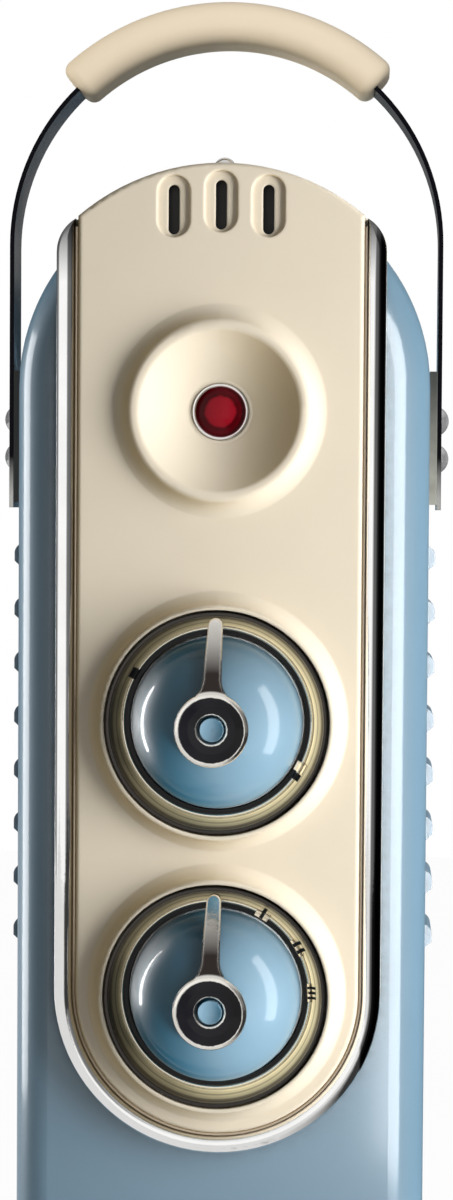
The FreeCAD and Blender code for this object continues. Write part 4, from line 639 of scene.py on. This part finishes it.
@dataclass(frozen=True)
class RingMetal(Finish):
    """Dial ring: turned champagne bands that darken outwards, between a dark rim and a polished bead."""

    height: float = UPPER_KNOB
    colour: Colour = (0.78, 0.65, 0.38)
    outside: Colour = (0.07, 0.052, 0.032)
    bright: Colour = (0.93, 0.88, 0.74)
    dark: Colour = (0.05, 0.045, 0.04)
    metal: Range = (0.25, 0.9)
    rough: Range = (0.32, 0.16)
    bead: float = 0.0347
    rim: float = 0.0384
    blend: float = 0.0002
    turning_noise: Range = (0.35, 0.65)
    turning: Range = (-0.12, 0.12)
    grime: float = 0.5
    bands: Stops = (
        (0.0, 0.2), (0.08, 0.05), (0.3, 0.2), (0.42, 0.75), (0.5, 0.4), (0.66, 0.55), (0.8, 0.92), (1.0, 1.0))

    def dress(self, skin: Skin) -> None:
        """Wires the satin face, the polished edges and the turning marks.

        Args:
            skin: the material's surface.
        """
        reach = skin.reach(self.height)
        inner = skin.span(reach, (self.bead + self.blend, self.bead))
        outer = skin.span(reach, (self.rim, self.rim + self.blend))
        drift = skin.effect(Effects.mottle, colour=self.colour, scale=90.0, amount=0.06)
        lines = skin.put("CombineXYZ", {0: reach}).outputs[0]
        turned = skin.noise(lines, scale=2600.0, rough=0.6)
        dim = skin.ramp(skin.span(reach, (self.bead, self.rim)), self.bands)
        uneven = skin.work("ADD", dim, skin.span(turned, self.turning_noise, self.turning))
        tone = skin.mix(uneven, drift["Colour"], self.outside)
        hollow = skin.effect(Effects.crevices, reach=0.002)
        face = skin.mix(outer, skin.mix(inner, tone, self.bright), self.dark)
        # Hollows darken towards the dark colour.
        skin.give("Base Color", skin.mix(skin.times(hollow["Mask"], self.grime), face, self.dark))
        polished = skin.work("MAXIMUM", inner, outer)
        skin.give("Metallic", skin.span(polished, RISING, self.metal))
        skin.give("Roughness", skin.span(polished, RISING, self.rough))
        edges = skin.effect(Effects.edge_wear, radius=0.0003)
        skin.bump(turned, edges["Normal"], strength=0.12, distance=0.0001)


@dataclass(frozen=True)
class PointerMetal(Finish):
    """Chromed pointer with a black-filled hub, and a painted dark reflection on its arm near the hub, bright
    at its tip.
    """

    height: float
    colour: Colour = (0.88, 0.85, 0.79)
    smoke: Colour = (0.045, 0.036, 0.033)
    black: Colour = (0.01, 0.01, 0.013)
    rough: Range = (0.06, 0.14)
    shine: float = 0.2
    bore: float = 0.0056
    rim: float = 0.0114
    arm: Range = (0.0195, 0.037)
    arm_edge: Range = (0.1, 0.5)
    hub_edge: Range = (0.0131, 0.0137)

    def dress(self, skin: Skin) -> None:
        """Wires chrome, the painted dark reflection, the black hub and softened edges.

        Args:
            skin: the material's surface.
        """
        reach = skin.reach(self.height)
        wobble = skin.span(skin.noise(skin.place, scale=900.0), NOISE, (-HAIR, HAIR))
        ragged = skin.work("ADD", reach, wobble)
        outside = skin.span(ragged, (self.bore - HAIR, self.bore + HAIR))
        inside = skin.span(ragged, (self.rim + HAIR, self.rim - HAIR))
        filled = skin.times(outside, inside)
        drift = skin.effect(Effects.mottle, colour=self.colour, scale=160.0, amount=0.05)
        edges = skin.effect(Effects.edge_wear, radius=0.0005)
        # Painted dark reflection: the arm darkens near the hub, but not at its edges.
        along = skin.span(reach, self.arm, FALLING)
        clear = skin.span(edges["Mask"], self.arm_edge, FALLING)
        beyond = skin.span(reach, self.hub_edge)
        reflection_dark = skin.times(skin.times(along, clear), beyond)
        arm = skin.mix(reflection_dark, drift["Colour"], self.smoke)
        skin.give("Base Color", skin.mix(filled, arm, self.black))
        skin.give("Metallic", skin.span(filled, RISING, FALLING))
        skin.give("Roughness", skin.span(drift["Mask"], NOISE, self.rough))
        skin.give("Specular IOR Level", self.shine)
        grain = skin.effect(Effects.fine_grain, scale=380.0)
        skin.bump(grain["Height"], edges["Normal"], strength=0.12, distance=0.0004)


@dataclass(frozen=True)
class Galvanised(Finish):
    """Bare zinc-dipped sheet with its frosty spangle."""

    colour: Colour
    spangle_scale: float = 130.0
    rough: Range = (0.3, 0.48)
    grime: float = 0.35
    grime_colour: Colour = (0.16, 0.15, 0.14)

    def dress(self, skin: Skin) -> None:
        """Wires spangle, dull patches, darker hollows and edges.

        Args:
            skin: the material's surface.
        """
        cells = skin.put("TexVoronoi", {"Vector": skin.place, "Scale": self.spangle_scale, "Randomness": 1.0})
        tone = skin.put("SeparateColor", {0: cells.outputs["Color"]}).outputs[0]
        hollow = skin.effect(Effects.crevices, reach=0.01)
        frost = skin.mix(tone, toned(self.colour, share=0.8), toned(self.colour, share=1.18))
        # Hollows darken towards the hollow colour.
        grime = skin.times(hollow["Mask"], self.grime)
        skin.give("Base Color", skin.mix(grime, frost, self.grime_colour))
        skin.give("Metallic", 1.0)
        skin.give("Roughness", skin.span(tone, RISING, self.rough))
        edges = skin.effect(Effects.edge_wear, radius=0.0004)
        skin.bump(cells.outputs["Distance"], edges["Normal"], strength=0.06, distance=0.0003)


@dataclass(frozen=True)
class Lens(Finish):
    """Clear red lamp lens over a brighter round reflector."""

    deep: Colour
    bright: Colour
    height: float
    disc: float = 0.0056
    rim: float = 0.0088
    blend: float = 0.0005
    ragged: Range = (-0.00025, 0.00025)
    rough: Range = (0.12, 0.2)
    shine: float = 0.12

    def dress(self, skin: Skin) -> None:
        """Wires the round bands of the lens.

        Args:
            skin: the material's surface.
        """
        reach = skin.reach(self.height)
        wobble = skin.span(skin.noise(skin.place, scale=500.0), NOISE, self.ragged)
        ragged = skin.work("ADD", reach, wobble)
        inside = skin.span(ragged, (self.disc + self.blend, self.disc - self.blend))
        ring = skin.span(reach, (self.disc, self.rim))
        band = skin.mix(ring, toned(self.deep, share=0.42), self.deep)
        tone = skin.mix(inside, band, self.bright)
        skin.give("Base Color", tone)
        skin.give("Roughness", skin.span(ring, RISING, self.rough))
        skin.give("Specular IOR Level", self.shine)


FINISHES: dict[Slot, Finish] = {
    Slot.COVER_BLUE: Enamel(linear(104, 134, 153), shade=0.9, depth=0.1),
    Slot.FIN_BLUE: Enamel(linear(112, 141, 159), rough=0.5, dust=0.2, depth=0.0),
    Slot.PANEL_CREAM: Plastic(linear(234, 222, 200), coat=0.15, soft=0.0012, depth=0.8),
    Slot.GRIP_CREAM: Plastic(linear(230, 214, 188), rough=0.5, depth=0.15),
    Slot.KNOB_BLUE: DomePlastic(linear(99, 128, 145), coat=0.4, shine=0.08, grain=0.01,
                                corner=(0.015, 0.03, 0.045), edge=0.1, depth=0.75),
    Slot.TRIM_CHROME: Plating((0.82, 0.81, 0.80)),
    Slot.DIAL_CHAMPAGNE: RingMetal(),
    Slot.STRAP_DARK: StrapMetal((0.12, 0.145, 0.165), rough=0.2),
    Slot.LENS_RED: Lens(linear(104, 6, 18), linear(150, 18, 34), LAMP_HEIGHT),
    Slot.PAD_BLACK: Plastic(linear(24, 23, 23), rough=0.5, corner=SHADE_BLACK),
    Slot.PLATED_STEEL: Plating((0.62, 0.61, 0.59), rough=0.24, scratch=0.2),
    Slot.SHIELD_STEEL: Galvanised((0.58, 0.59, 0.6)),
    Slot.INNER_PLASTIC: Plastic(linear(44, 43, 42), rough=0.5, corner=SHADE_BLACK),
    Slot.CERAMIC_WHITE: Plastic(linear(226, 222, 210), rough=0.35, grain=0.3),
    Slot.GASKET_FIBRE: Plastic(linear(190, 174, 152), rough=0.85, grain=0.6),
    Slot.FOOT_DARK: Enamel(linear(34, 35, 38), rough=0.42, coat=0.25, peel=0.1, edge=0.12, dust=0.3),
    Slot.CASTOR_BLACK: Plastic(linear(32, 32, 33), rough=0.46, corner=(0.05, 0.045, 0.04), grain=0.3),
    Slot.CASTOR_TYRE: Plastic(linear(52, 51, 50), rough=0.68, corner=(0.09, 0.08, 0.07), grain=0.5),
}
NODE_SLOTS: dict[str, Slot] = {row["node"]: Slot(row["material_slot"]) for row in frame["record"]["subparts"]}


@cache
def finish_of(slot: Slot) -> bpy.types.Material:
    """Gives a slot's material, made the first time."""
    return FINISHES[slot].material(slot.value)


def deselect() -> None:
    """Leaves edit mode and clears the selection."""
    if bpy.context.mode != "OBJECT":
        bpy.ops.object.mode_set(mode="OBJECT")
    bpy.ops.object.select_all(action="DESELECT")


def settle() -> Piece:
    """Puts the active piece's place, turn and size into its mesh, and gives the piece."""
    bpy.ops.object.transform_apply(location=True, rotation=True, scale=True)
    return bpy.context.object


def thicken(depth: float) -> None:
    """Draws the open mesh back into a closed piece and leaves edit mode.

    Args:
        depth: how far it is drawn back.
    """
    bpy.ops.mesh.select_all(action="SELECT")
    bpy.ops.mesh.extrude_region()
    bpy.ops.transform.translate(value=(0.0, depth, 0.0))
    bpy.ops.mesh.select_all(action="SELECT")
    bpy.ops.mesh.normals_make_consistent(inside=False)
    bpy.ops.object.mode_set(mode="OBJECT")


@dataclass
class Assembly:
    """A sub-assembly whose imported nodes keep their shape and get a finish."""

    title: str
    nodes: tuple[str, ...]

    def own_finishes(self) -> dict[str, Finish]:
        """Gives the finishes of nodes that differ from the rest of their slot."""
        return {}

    def dress(self) -> None:
        """Gives every node of the sub-assembly its own finish or its slot's."""
        own = self.own_finishes()
        for name in self.nodes:
            mesh = frame["nodes"][name].data
            mesh.materials.clear()
            mesh.materials.append(own[name].material(name) if name in own else finish_of(NODE_SLOTS[name]))
            LOG.info("%s: dressed %s", self.title, name)

    def build(self) -> None:
        """Adds no piece; a sub-assembly with new pieces builds them here."""

    def add(self, piece: Piece, body: str, slot: Slot) -> None:
        """Gives a new piece its slot's finish and hangs it on its body.

        Args:
            piece: the finished piece.
            body: body that it rides on.
            slot: slot of its finish.
        """
        piece.data.materials.clear()
        piece.data.materials.append(finish_of(slot))
        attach(piece, body)
        LOG.info("%s: added %s on %s", self.title, piece.name, body)


@dataclass
class Camera:
    """Camera at the photograph's view."""

    eye: Spot = (0.055, -1.0026, 0.470)
    aim: Spot = (0.0029, PANEL_PLANE, 0.4372)
    roll: float = math.radians(0.38)
    scale: float = 0.00036
    rows: int = 1200
    sensor: float = 36.0

    def build(self) -> None:
        """Adds the camera and makes it the scene's own."""
        ahead = Vector(self.aim) - Vector(self.eye)
        reach = ahead.length
        ahead.normalize()
        right = ahead.cross(Vector((0, 0, 1))).normalized()
        above = right.cross(ahead)
        side = right * math.cos(self.roll) + above * math.sin(self.roll)
        head = above * math.cos(self.roll) - right * math.sin(self.roll)
        turn = Matrix((side, head, -ahead)).transposed().to_4x4()
        deselect()
        bpy.ops.object.camera_add(location=self.eye)
        camera = bpy.context.object
        camera.name = "photo_camera"
        camera.matrix_world = Matrix.Translation(self.eye) @ turn
        camera.data.sensor_width = self.sensor
        camera.data.lens = reach / self.scale * self.sensor / self.rows
        camera.data.clip_start = 0.01
        bpy.context.scene.camera = camera
        LOG.info("studio: camera at %.3f m", reach)


class Reach(Enum):
    """Nodes that a softbox lights; the broad one lights all but the grip."""

    BROAD = ()
    GRIP = ("handle_grip",)
    COVER = ("front_cover",)
    KNOBS = ("thermostat_knob", "selector_knob")
    RINGS = ("thermostat_dial_ring", "selector_dial_ring", "thermostat_panel_cream_marks",
             "selector_panel_cream_marks")
    REAR = tuple(NODE_SLOTS)
    LEFT = tuple(name for name in NODE_SLOTS
                 if name.startswith(("front", "heat", "handle", "fin", "rear", "castor")))


@dataclass
class Lamp:
    """A softbox that stands round the control panel."""

    name: str
    bearing: float
    distance: float
    height: float
    size: Range
    power: float
    reach: Reach = Reach.BROAD
    gloss: bool = False
    alone: bool = False

    def build(self) -> None:
        """Adds the softbox, aimed, and keeps it out of the picture."""
        turn = math.radians(self.bearing)
        way = Vector((math.sin(turn), -math.cos(turn), 0.0))
        spot = Vector((0.0, PANEL_PLANE, self.height)) + self.distance * way
        deselect()
        bpy.ops.object.light_add(type="AREA", location=spot)
        lamp = bpy.context.object
        lamp.name = self.name
        lamp.data.shape = "RECTANGLE"
        lamp.data.size, lamp.data.size_y = self.size
        lamp.data.energy = self.power
        lamp.rotation_euler = (-way).to_track_quat("-Z", "Y").to_euler()
        lamp.visible_camera = False
        lamp.visible_glossy = self.gloss
        lamp.visible_diffuse = not self.gloss
        self.link(lamp)
        LOG.info("studio: lamp %s", self.name)

    def link(self, lamp: Piece) -> None:
        """Keeps the lamp's light on its own nodes, which alone shade it if it stands alone.

        Args:
            lamp: the lamp.
        """
        lit = bpy.data.collections.new(f"{self.name}_lights")
        meshes = [item.name for item in bpy.data.objects if item.type == "MESH"]
        broad = [name for name in meshes if name not in Reach.GRIP.value]
        for name in self.reach.value or broad:
            lit.objects.link(bpy.data.objects[name])
        lamp.light_linking.receiver_collection = lit
        if self.alone:
            lamp.light_linking.blocker_collection = lit


@dataclass
class Studio:
    """Floor, surround and softboxes."""

    floor_half: float = 2.2
    floor_colour: Colour = (0.62, 0.62, 0.61)
    floor_rough: float = 0.8
    floor_share: float = 0.93
    mirror_across: Range = (0.06, 0.26)
    mirror: Range = (0.75, 0.04)
    shadow_reach: float = 0.3
    shadow_open: Range = (0.2, 1.0)
    shadow: Range = (0.35, 1.04)
    ambient: float = 0.14
    ambient_colour: Colour = (1.0, 0.98, 0.94)
    room: Stops = (
        (-180.0, 0.15), (-96.0, 0.18), (-78.0, 1.0), (12.0, 1.0), (22.0, 0.3), (35.0, 0.17),
        (66.0, 0.15), (84.0, 0.03), (105.0, 0.02), (130.0, 0.2), (180.0, 0.2))
    sky: float = 0.72
    sky_edge: Range = (0.3, 0.75)

    def build(self) -> None:
        """Builds the surround, the floor and the lamps."""
        self.build_world()
        self.build_floor()
        lamps = (
            Lamp("key_softbox", 62.0, 0.75, 0.35, (0.42, 0.9), 11.4),
            Lamp("grip_softbox", 8.0, 0.75, 0.85, (0.5, 0.3), 6.3, Reach.GRIP),
            Lamp("rear_softbox", 180.0, 1.3, 0.75, (0.9, 0.8), 22.0, Reach.REAR),
            Lamp("left_softbox", -108.0, 1.2, 0.5, (0.7, 0.8), 11.0, Reach.LEFT),
            Lamp("cover_streak", 22.6, 0.765, 0.38, (0.5, 0.74), 30.0, Reach.COVER, gloss=True),
            Lamp("cover_edge", -95.0, 0.9, 0.42, (0.46, 0.75), 17.0, Reach.COVER, gloss=True),
            Lamp("knob_streak", 84.0, 0.6, 0.46, (0.2, 0.86), 6.0, Reach.KNOBS, gloss=True),
            Lamp("knob_edge", -121.0, 0.5, 0.4, (0.17, 0.44), 9.0, Reach.KNOBS, gloss=True, alone=True),
            Lamp("knob_fill", 46.0, 0.5, 0.11, (0.2, 0.2), 3.2, Reach.KNOBS),
            Lamp("dial_fill", -72.0, 0.8, 0.42, (0.25, 0.3), 12.5, Reach.RINGS, alone=True),
        )
        for lamp in lamps:
            lamp.build()
        bpy.context.scene.view_settings.view_transform = "Standard"

    def build_world(self) -> None:
        """Makes a surround that lights softly, shows white and gives metal a white left and a dark right."""
        world = bpy.data.worlds.new("white_surround")
        bench = clear_bench(world)
        way = bench.put("SeparateXYZ", {0: bench.put("TexCoord").outputs["Generated"]}).outputs
        bearing = bench.work("ARCTAN2", way[0], bench.times(way[1], -1.0))
        turn = bench.span(bearing, (-math.pi, math.pi))
        sides = bench.ramp(turn, [(angle / 360 + 0.5, level) for angle, level in self.room])
        above = bench.span(way[2], self.sky_edge)
        seen_room = bench.mix(above, sides, (self.sky, self.sky, self.sky))
        soft = bench.put("Background", {"Color": self.ambient_colour, "Strength": self.ambient})
        white = bench.put("Background", {"Color": WHITE, "Strength": 1.0})
        metal = bench.put("Background", {"Color": seen_room, "Strength": 1.0})
        path = bench.put("LightPath").outputs
        seen = bench.work("MAXIMUM", path["Is Camera Ray"], path["Is Transmission Ray"])
        plain = bench.put("MixShader", {0: seen, 1: soft.outputs[0], 2: white.outputs[0]})
        fresh = bench.span(path["Diffuse Depth"], RISING, FALLING)
        mirrored = bench.times(path["Is Glossy Ray"], fresh)
        both = bench.put("MixShader", {0: mirrored, 1: plain.outputs[0], 2: metal.outputs[0]})
        bench.put("OutputWorld", {"Surface": both.outputs[0]})
        bpy.context.scene.world = world

    def build_floor(self) -> None:
        """Adds a pale floor that shows nearly white with a painted contact shadow, keeps a faint share of the
        lit shadow and mirrors dim to the right.
        """
        deselect()
        bpy.ops.mesh.primitive_plane_add(size=2 * self.floor_half)
        floor = bpy.context.object
        floor.name = "floor"
        made = bpy.data.materials.new("pale_floor")
        bench = clear_bench(made)
        place = bench.put("TexCoord").outputs["Object"]
        drift = bench.group(Effects.mottle, place, colour=self.floor_colour, scale=6.0, amount=0.01)
        lit = bench.put("BsdfPrincipled", {"Base Color": drift["Colour"], "Roughness": self.floor_rough})
        # Painted contact shadow: the floor's white dims where the object is near.
        near = bench.put("AmbientOcclusion", {"Distance": self.shadow_reach}, samples=12)
        shadow = bench.span(near.outputs["AO"], self.shadow_open, self.shadow)
        white = bench.put("Emission", {"Color": WHITE, "Strength": shadow})
        across = bench.put("SeparateXYZ", {0: place}).outputs[0]
        level = bench.span(across, self.mirror_across, self.mirror)
        dim = bench.put("Emission", {"Color": WHITE, "Strength": level})
        path = bench.put("LightPath").outputs
        share = bench.times(path["Is Camera Ray"], self.floor_share)
        shown = bench.put("MixShader", {0: share, 1: lit.outputs[0], 2: white.outputs[0]})
        both = bench.put("MixShader", {0: path["Is Glossy Ray"], 1: shown.outputs[0], 2: dim.outputs[0]})
        bench.put("OutputMaterial", {"Surface": both.outputs[0]})
        floor.data.materials.append(made)


@dataclass(frozen=True)
class Mark:
    """A small raised mark that lies on a dial's ring."""

    angle: float
    width: float
    inner: float
    outer: float
    slot: Slot = Slot.PAD_BLACK
    shift: float = 0.0
    rise: float = 0.0003


GROUND_MARGIN = 0.0012
GROUND_RISE = 0.00015


def numeral(angle: float, bars: int, pitch: float, width: float, length: Range) -> tuple[Mark, ...]:
    """Lays out a Roman numeral of upright bars on a pale ground.

    Args:
        angle: clockwise from the top, in degrees.
        bars: number of bars.
        pitch: spacing of the bars.
        width: width of a bar.
        length: inner and outer radius of a bar.

    Returns:
        The pale ground and the bars.
    """
    ground = Mark(angle, pitch * bars + GROUND_MARGIN, length[0] - HAIR, length[1] - GROUND_MARGIN,
                  Slot.PANEL_CREAM, rise=GROUND_RISE)
    row = [Mark(angle, width, *length, shift=(i - (bars - 1) / 2) * pitch) for i in range(bars)]
    return (ground, *row)


@dataclass
class Dial(Assembly):
    """A domed knob with its pointer, ring and black gasket; its title begins their names."""

    height: float
    marks: tuple[Mark, ...]
    gasket_inner: float = 0.03175
    gasket_outer: float = 0.0335
    gasket_front: float = 0.0018
    gasket_depth: float = 0.0056
    smooth_angle: float = math.radians(40)
    mark_start: float = 0.03

    def own_finishes(self) -> dict[str, Finish]:
        """Gives the round pieces' finishes, centred on the dial's own axis."""
        return {
            f"{self.title}_knob": replace(FINISHES[Slot.KNOB_BLUE], height=self.height),
            f"{self.title}_dial_ring": replace(FINISHES[Slot.DIAL_CHAMPAGNE], height=self.height),
            f"{self.title}_pointer": PointerMetal(self.height),
        }

    def build(self) -> None:
        """Builds the gasket and the marks."""
        gasket = self.build_gasket()
        for slot in (Slot.PANEL_CREAM, Slot.PAD_BLACK):
            rows = [self.build_mark(mark, gasket) for mark in self.marks if mark.slot is slot]
            deselect()
            for row in rows:
                row.select_set(True)
            bpy.context.view_layer.objects.active = rows[0]
            if len(rows) > 1:
                bpy.ops.object.join()
            piece = bpy.context.object
            piece.name = f"{self.title}_{slot.value}_marks"
            self.add(piece, "radiator", slot)
        self.add(gasket, "radiator", Slot.PAD_BLACK)

    def build_gasket(self) -> Piece:
        """Draws the black gasket out of a circle: widened to a washer, then drawn back to a tube.

        Returns:
            The gasket.
        """
        deselect()
        middle = (0.0, PANEL_PLANE - self.gasket_front, self.height)
        bpy.ops.mesh.primitive_circle_add(vertices=128, radius=self.gasket_inner,
                                          location=middle, rotation=UPRIGHT)
        gasket = settle()
        gasket.name = f"{self.title}_gasket"
        wider = self.gasket_outer / self.gasket_inner
        bpy.ops.object.mode_set(mode="EDIT")
        bpy.ops.mesh.select_all(action="SELECT")
        bpy.ops.mesh.extrude_region()
        bpy.ops.transform.resize(value=(wider, 1.0, wider), center_override=middle)
        thicken(self.gasket_depth)
        bpy.ops.object.shade_smooth_by_angle(angle=self.smooth_angle)
        return gasket

    def build_mark(self, mark: Mark, gasket: Piece) -> Piece:
        """Lays one mark over the ring and the gasket.

        Args:
            mark: the mark.
            gasket: the gasket that the mark's inner end lies on.

        Returns:
            The mark's piece.
        """
        deselect()
        middle = (mark.shift, PANEL_PLANE - self.mark_start, self.height + (mark.inner + mark.outer) / 2)
        bpy.ops.mesh.primitive_grid_add(x_subdivisions=8, y_subdivisions=16, size=1,
                                        location=middle, rotation=UPRIGHT)
        bar = bpy.context.object
        bar.scale = (mark.width, mark.outer - mark.inner, 1)
        settle()
        bar.data.transform(Matrix.Translation((0, 0, self.height))
                           @ Matrix.Rotation(math.radians(mark.angle), 4, "Y")
                           @ Matrix.Translation((0, 0, -self.height)))
        wrap = bar.modifiers.new("onto_ring", "SHRINKWRAP")
        wrap.target = frame["nodes"][f"{self.title}_dial_ring"]
        wrap.auxiliary_target = gasket
        wrap.wrap_method = "PROJECT"
        wrap.use_project_y = True
        wrap.offset = mark.rise
        bpy.ops.object.modifier_apply(modifier=wrap.name)
        wall = bar.modifiers.new("thickness", "SOLIDIFY")
        wall.thickness = 2 * mark.rise
        wall.offset = -1.0
        bpy.ops.object.modifier_apply(modifier=wall.name)
        return bar


@dataclass
class Panel(Assembly):
    """The cream panel with its chrome moulding, the seal between them and a dark sheet of painted shade
    behind the vents.
    """

    gauze_width: float = 0.044
    gauze_height: float = 0.0236
    gauze_depth: float = 0.0046
    gauze_middle: float = 0.5781
    gauze_wall: float = 0.0008
    gauze_rim: float = 0.0012
    gauze_corner: float = 0.004
    seal_reach: float = 0.05205
    seal_depth: float = 0.0013
    seal_radius: float = 0.00054
    seal_top: float = 0.571

    def own_finishes(self) -> dict[str, Finish]:
        """Gives the moulding its chrome with painted reflection and shade."""
        return {"panel_moulding": MouldingMetal((0.93, 0.925, 0.915))}

    def build(self) -> None:
        """Builds the dark sheet and the seal."""
        self.add(self.build_gauze(), "radiator", Slot.INNER_PLASTIC)
        self.add(self.build_seal(), "radiator", Slot.GASKET_FIBRE)

    def build_seal(self) -> Piece:
        """Bends the seal out of a circle: the upper half cut off, both ends drawn up, then made round.

        Returns:
            The seal.
        """
        deselect()
        middle = (0.0, PANEL_PLANE + self.seal_depth, LOWER_KNOB)
        bpy.ops.mesh.primitive_circle_add(vertices=96, radius=self.seal_reach,
                                          location=middle, rotation=UPRIGHT)
        seal = settle()
        seal.name = "panel_seal"
        self.pick_above(seal, LOWER_KNOB + HAIR)
        bpy.ops.mesh.delete(type="VERT")
        self.pick_above(seal, LOWER_KNOB - HAIR)
        bpy.ops.mesh.extrude_verts_indiv()
        bpy.ops.transform.translate(value=(0.0, 0.0, self.seal_top - LOWER_KNOB))
        bpy.ops.object.mode_set(mode="OBJECT")
        bpy.ops.object.convert(target="CURVE")
        seal.data.bevel_depth = self.seal_radius
        seal.data.bevel_resolution = 3
        bpy.ops.object.convert(target="MESH")
        bpy.ops.object.shade_smooth()
        return bpy.context.object

    @staticmethod
    def pick_above(piece: Piece, level: float) -> None:
        """Selects a piece's points above a level, in edit mode.

        Args:
            piece: the active piece.
            level: height in metres.
        """
        bpy.ops.object.mode_set(mode="EDIT")
        bpy.ops.mesh.select_mode(type="VERT")
        bpy.ops.mesh.select_all(action="DESELECT")
        bpy.ops.object.mode_set(mode="OBJECT")
        for point in piece.data.vertices:
            point.select = point.co.z > level
        bpy.ops.object.mode_set(mode="EDIT")

    def build_gauze(self) -> Piece:
        """Shapes the dark sheet of painted shade behind the vents out of a plane: a shallow tray with a
        folded rim.

        Returns:
            The dark sheet.
        """
        deselect()
        middle = (0.0, PANEL_PLANE + self.gauze_depth, self.gauze_middle)
        bpy.ops.mesh.primitive_plane_add(size=1, location=middle, rotation=UPRIGHT)
        shade_sheet = bpy.context.object
        shade_sheet.name = "vent_gauze"
        shade_sheet.scale = (self.gauze_width, self.gauze_height, 1)
        settle()
        bpy.ops.object.mode_set(mode="EDIT")
        bpy.ops.mesh.select_all(action="SELECT")
        bpy.ops.mesh.bevel(offset=self.gauze_corner, segments=3, affect="VERTICES")
        bpy.ops.mesh.select_all(action="SELECT")
        bpy.ops.mesh.inset(thickness=self.gauze_rim, depth=0.0)
        bpy.ops.transform.translate(value=(0.0, self.gauze_wall, 0.0))
        thicken(self.gauze_wall)
        return shade_sheet


@dataclass
class Handle(Assembly):
    """The arched handle with its grip, pads and screws."""

    def own_finishes(self) -> dict[str, Finish]:
        """Gives the screws a satin plating and the pads their rubber with a painted sheen."""
        return {"handle_screws": Plating((0.6, 0.6, 0.61), rough=0.16, metal=0.75),
                "handle_pads": PadRubber(linear(34, 36, 36), corner=SHADE_BLACK)}


STOPS = (
    Mark(-60.0, 0.004, 0.0321, 0.0358),
    Mark(118.0, 0.0036, 0.0321, 0.0357, Slot.PANEL_CREAM),
    Mark(124.0, 0.0026, 0.0321, 0.0357),
)
NUMERALS = (
    *numeral(30.0, 1, 0.004, 0.0013, (0.0321, 0.0366)),
    *numeral(59.5, 2, 0.0028, 0.0013, (0.0332, 0.0364)),
    *numeral(88.0, 3, 0.0018, 0.0009, (0.0332, 0.0361)),
)


def sub_assemblies() -> list[Assembly]:
    """Lists the sub-assemblies in building order.

    Returns:
        The sub-assemblies.
    """
    fins = tuple(f"fin_{number}" for number in range(1, 8))
    castors = tuple(f"castor_{piece}_{corner}" for corner in ("fl", "fr", "rl", "rr")
                    for piece in ("fork", "axle", "wheel"))

    def dial(prefix: str) -> tuple[str, ...]:
        """Names a dial's nodes."""
        return tuple(f"{prefix}_{piece}" for piece in ("dial_ring", "knob", "pointer", "shaft", "body"))

    return [
        Assembly("cover", ("front_cover", "top_screw")),
        Panel("panel", ("control_panel", "panel_moulding", "panel_screws", "bush_nuts")),
        Assembly("lamp", ("lamp_lens", "lamp_bezel", "lamp_holder")),
        Dial("thermostat", dial("thermostat"), UPPER_KNOB, STOPS),
        Dial("selector", dial("selector"), LOWER_KNOB, NUMERALS),
        Handle("handle", ("handle_strap", "handle_grip", "handle_pads", "handle_screws", "handle_nuts")),
        Assembly("heat shield", ("heat_shield", "shield_screws", "thermal_cutout", "terminal_block")),
        Assembly("heater", ("heater_plug", "upper_plug", "heater_gasket", "heater_elements")),
        Assembly("fins", (*fins, "rear_caps")),
        Assembly("outlet", ("outlet_plate", "cord_gland")),
        Assembly("undercarriage", ("front_foot_bar", "rear_foot_bar", "u_bolts", "wing_nuts", *castors)),
    ]


def main() -> None:
    """Builds the sub-assemblies in order, then the studio round them."""
    logging.basicConfig(level=logging.INFO, format="%(name)s %(message)s")
    for assembly in sub_assemblies():
        assembly.dress()
        assembly.build()
    Camera().build()
    Studio().build()


if __name__ == "__main__":
    main()
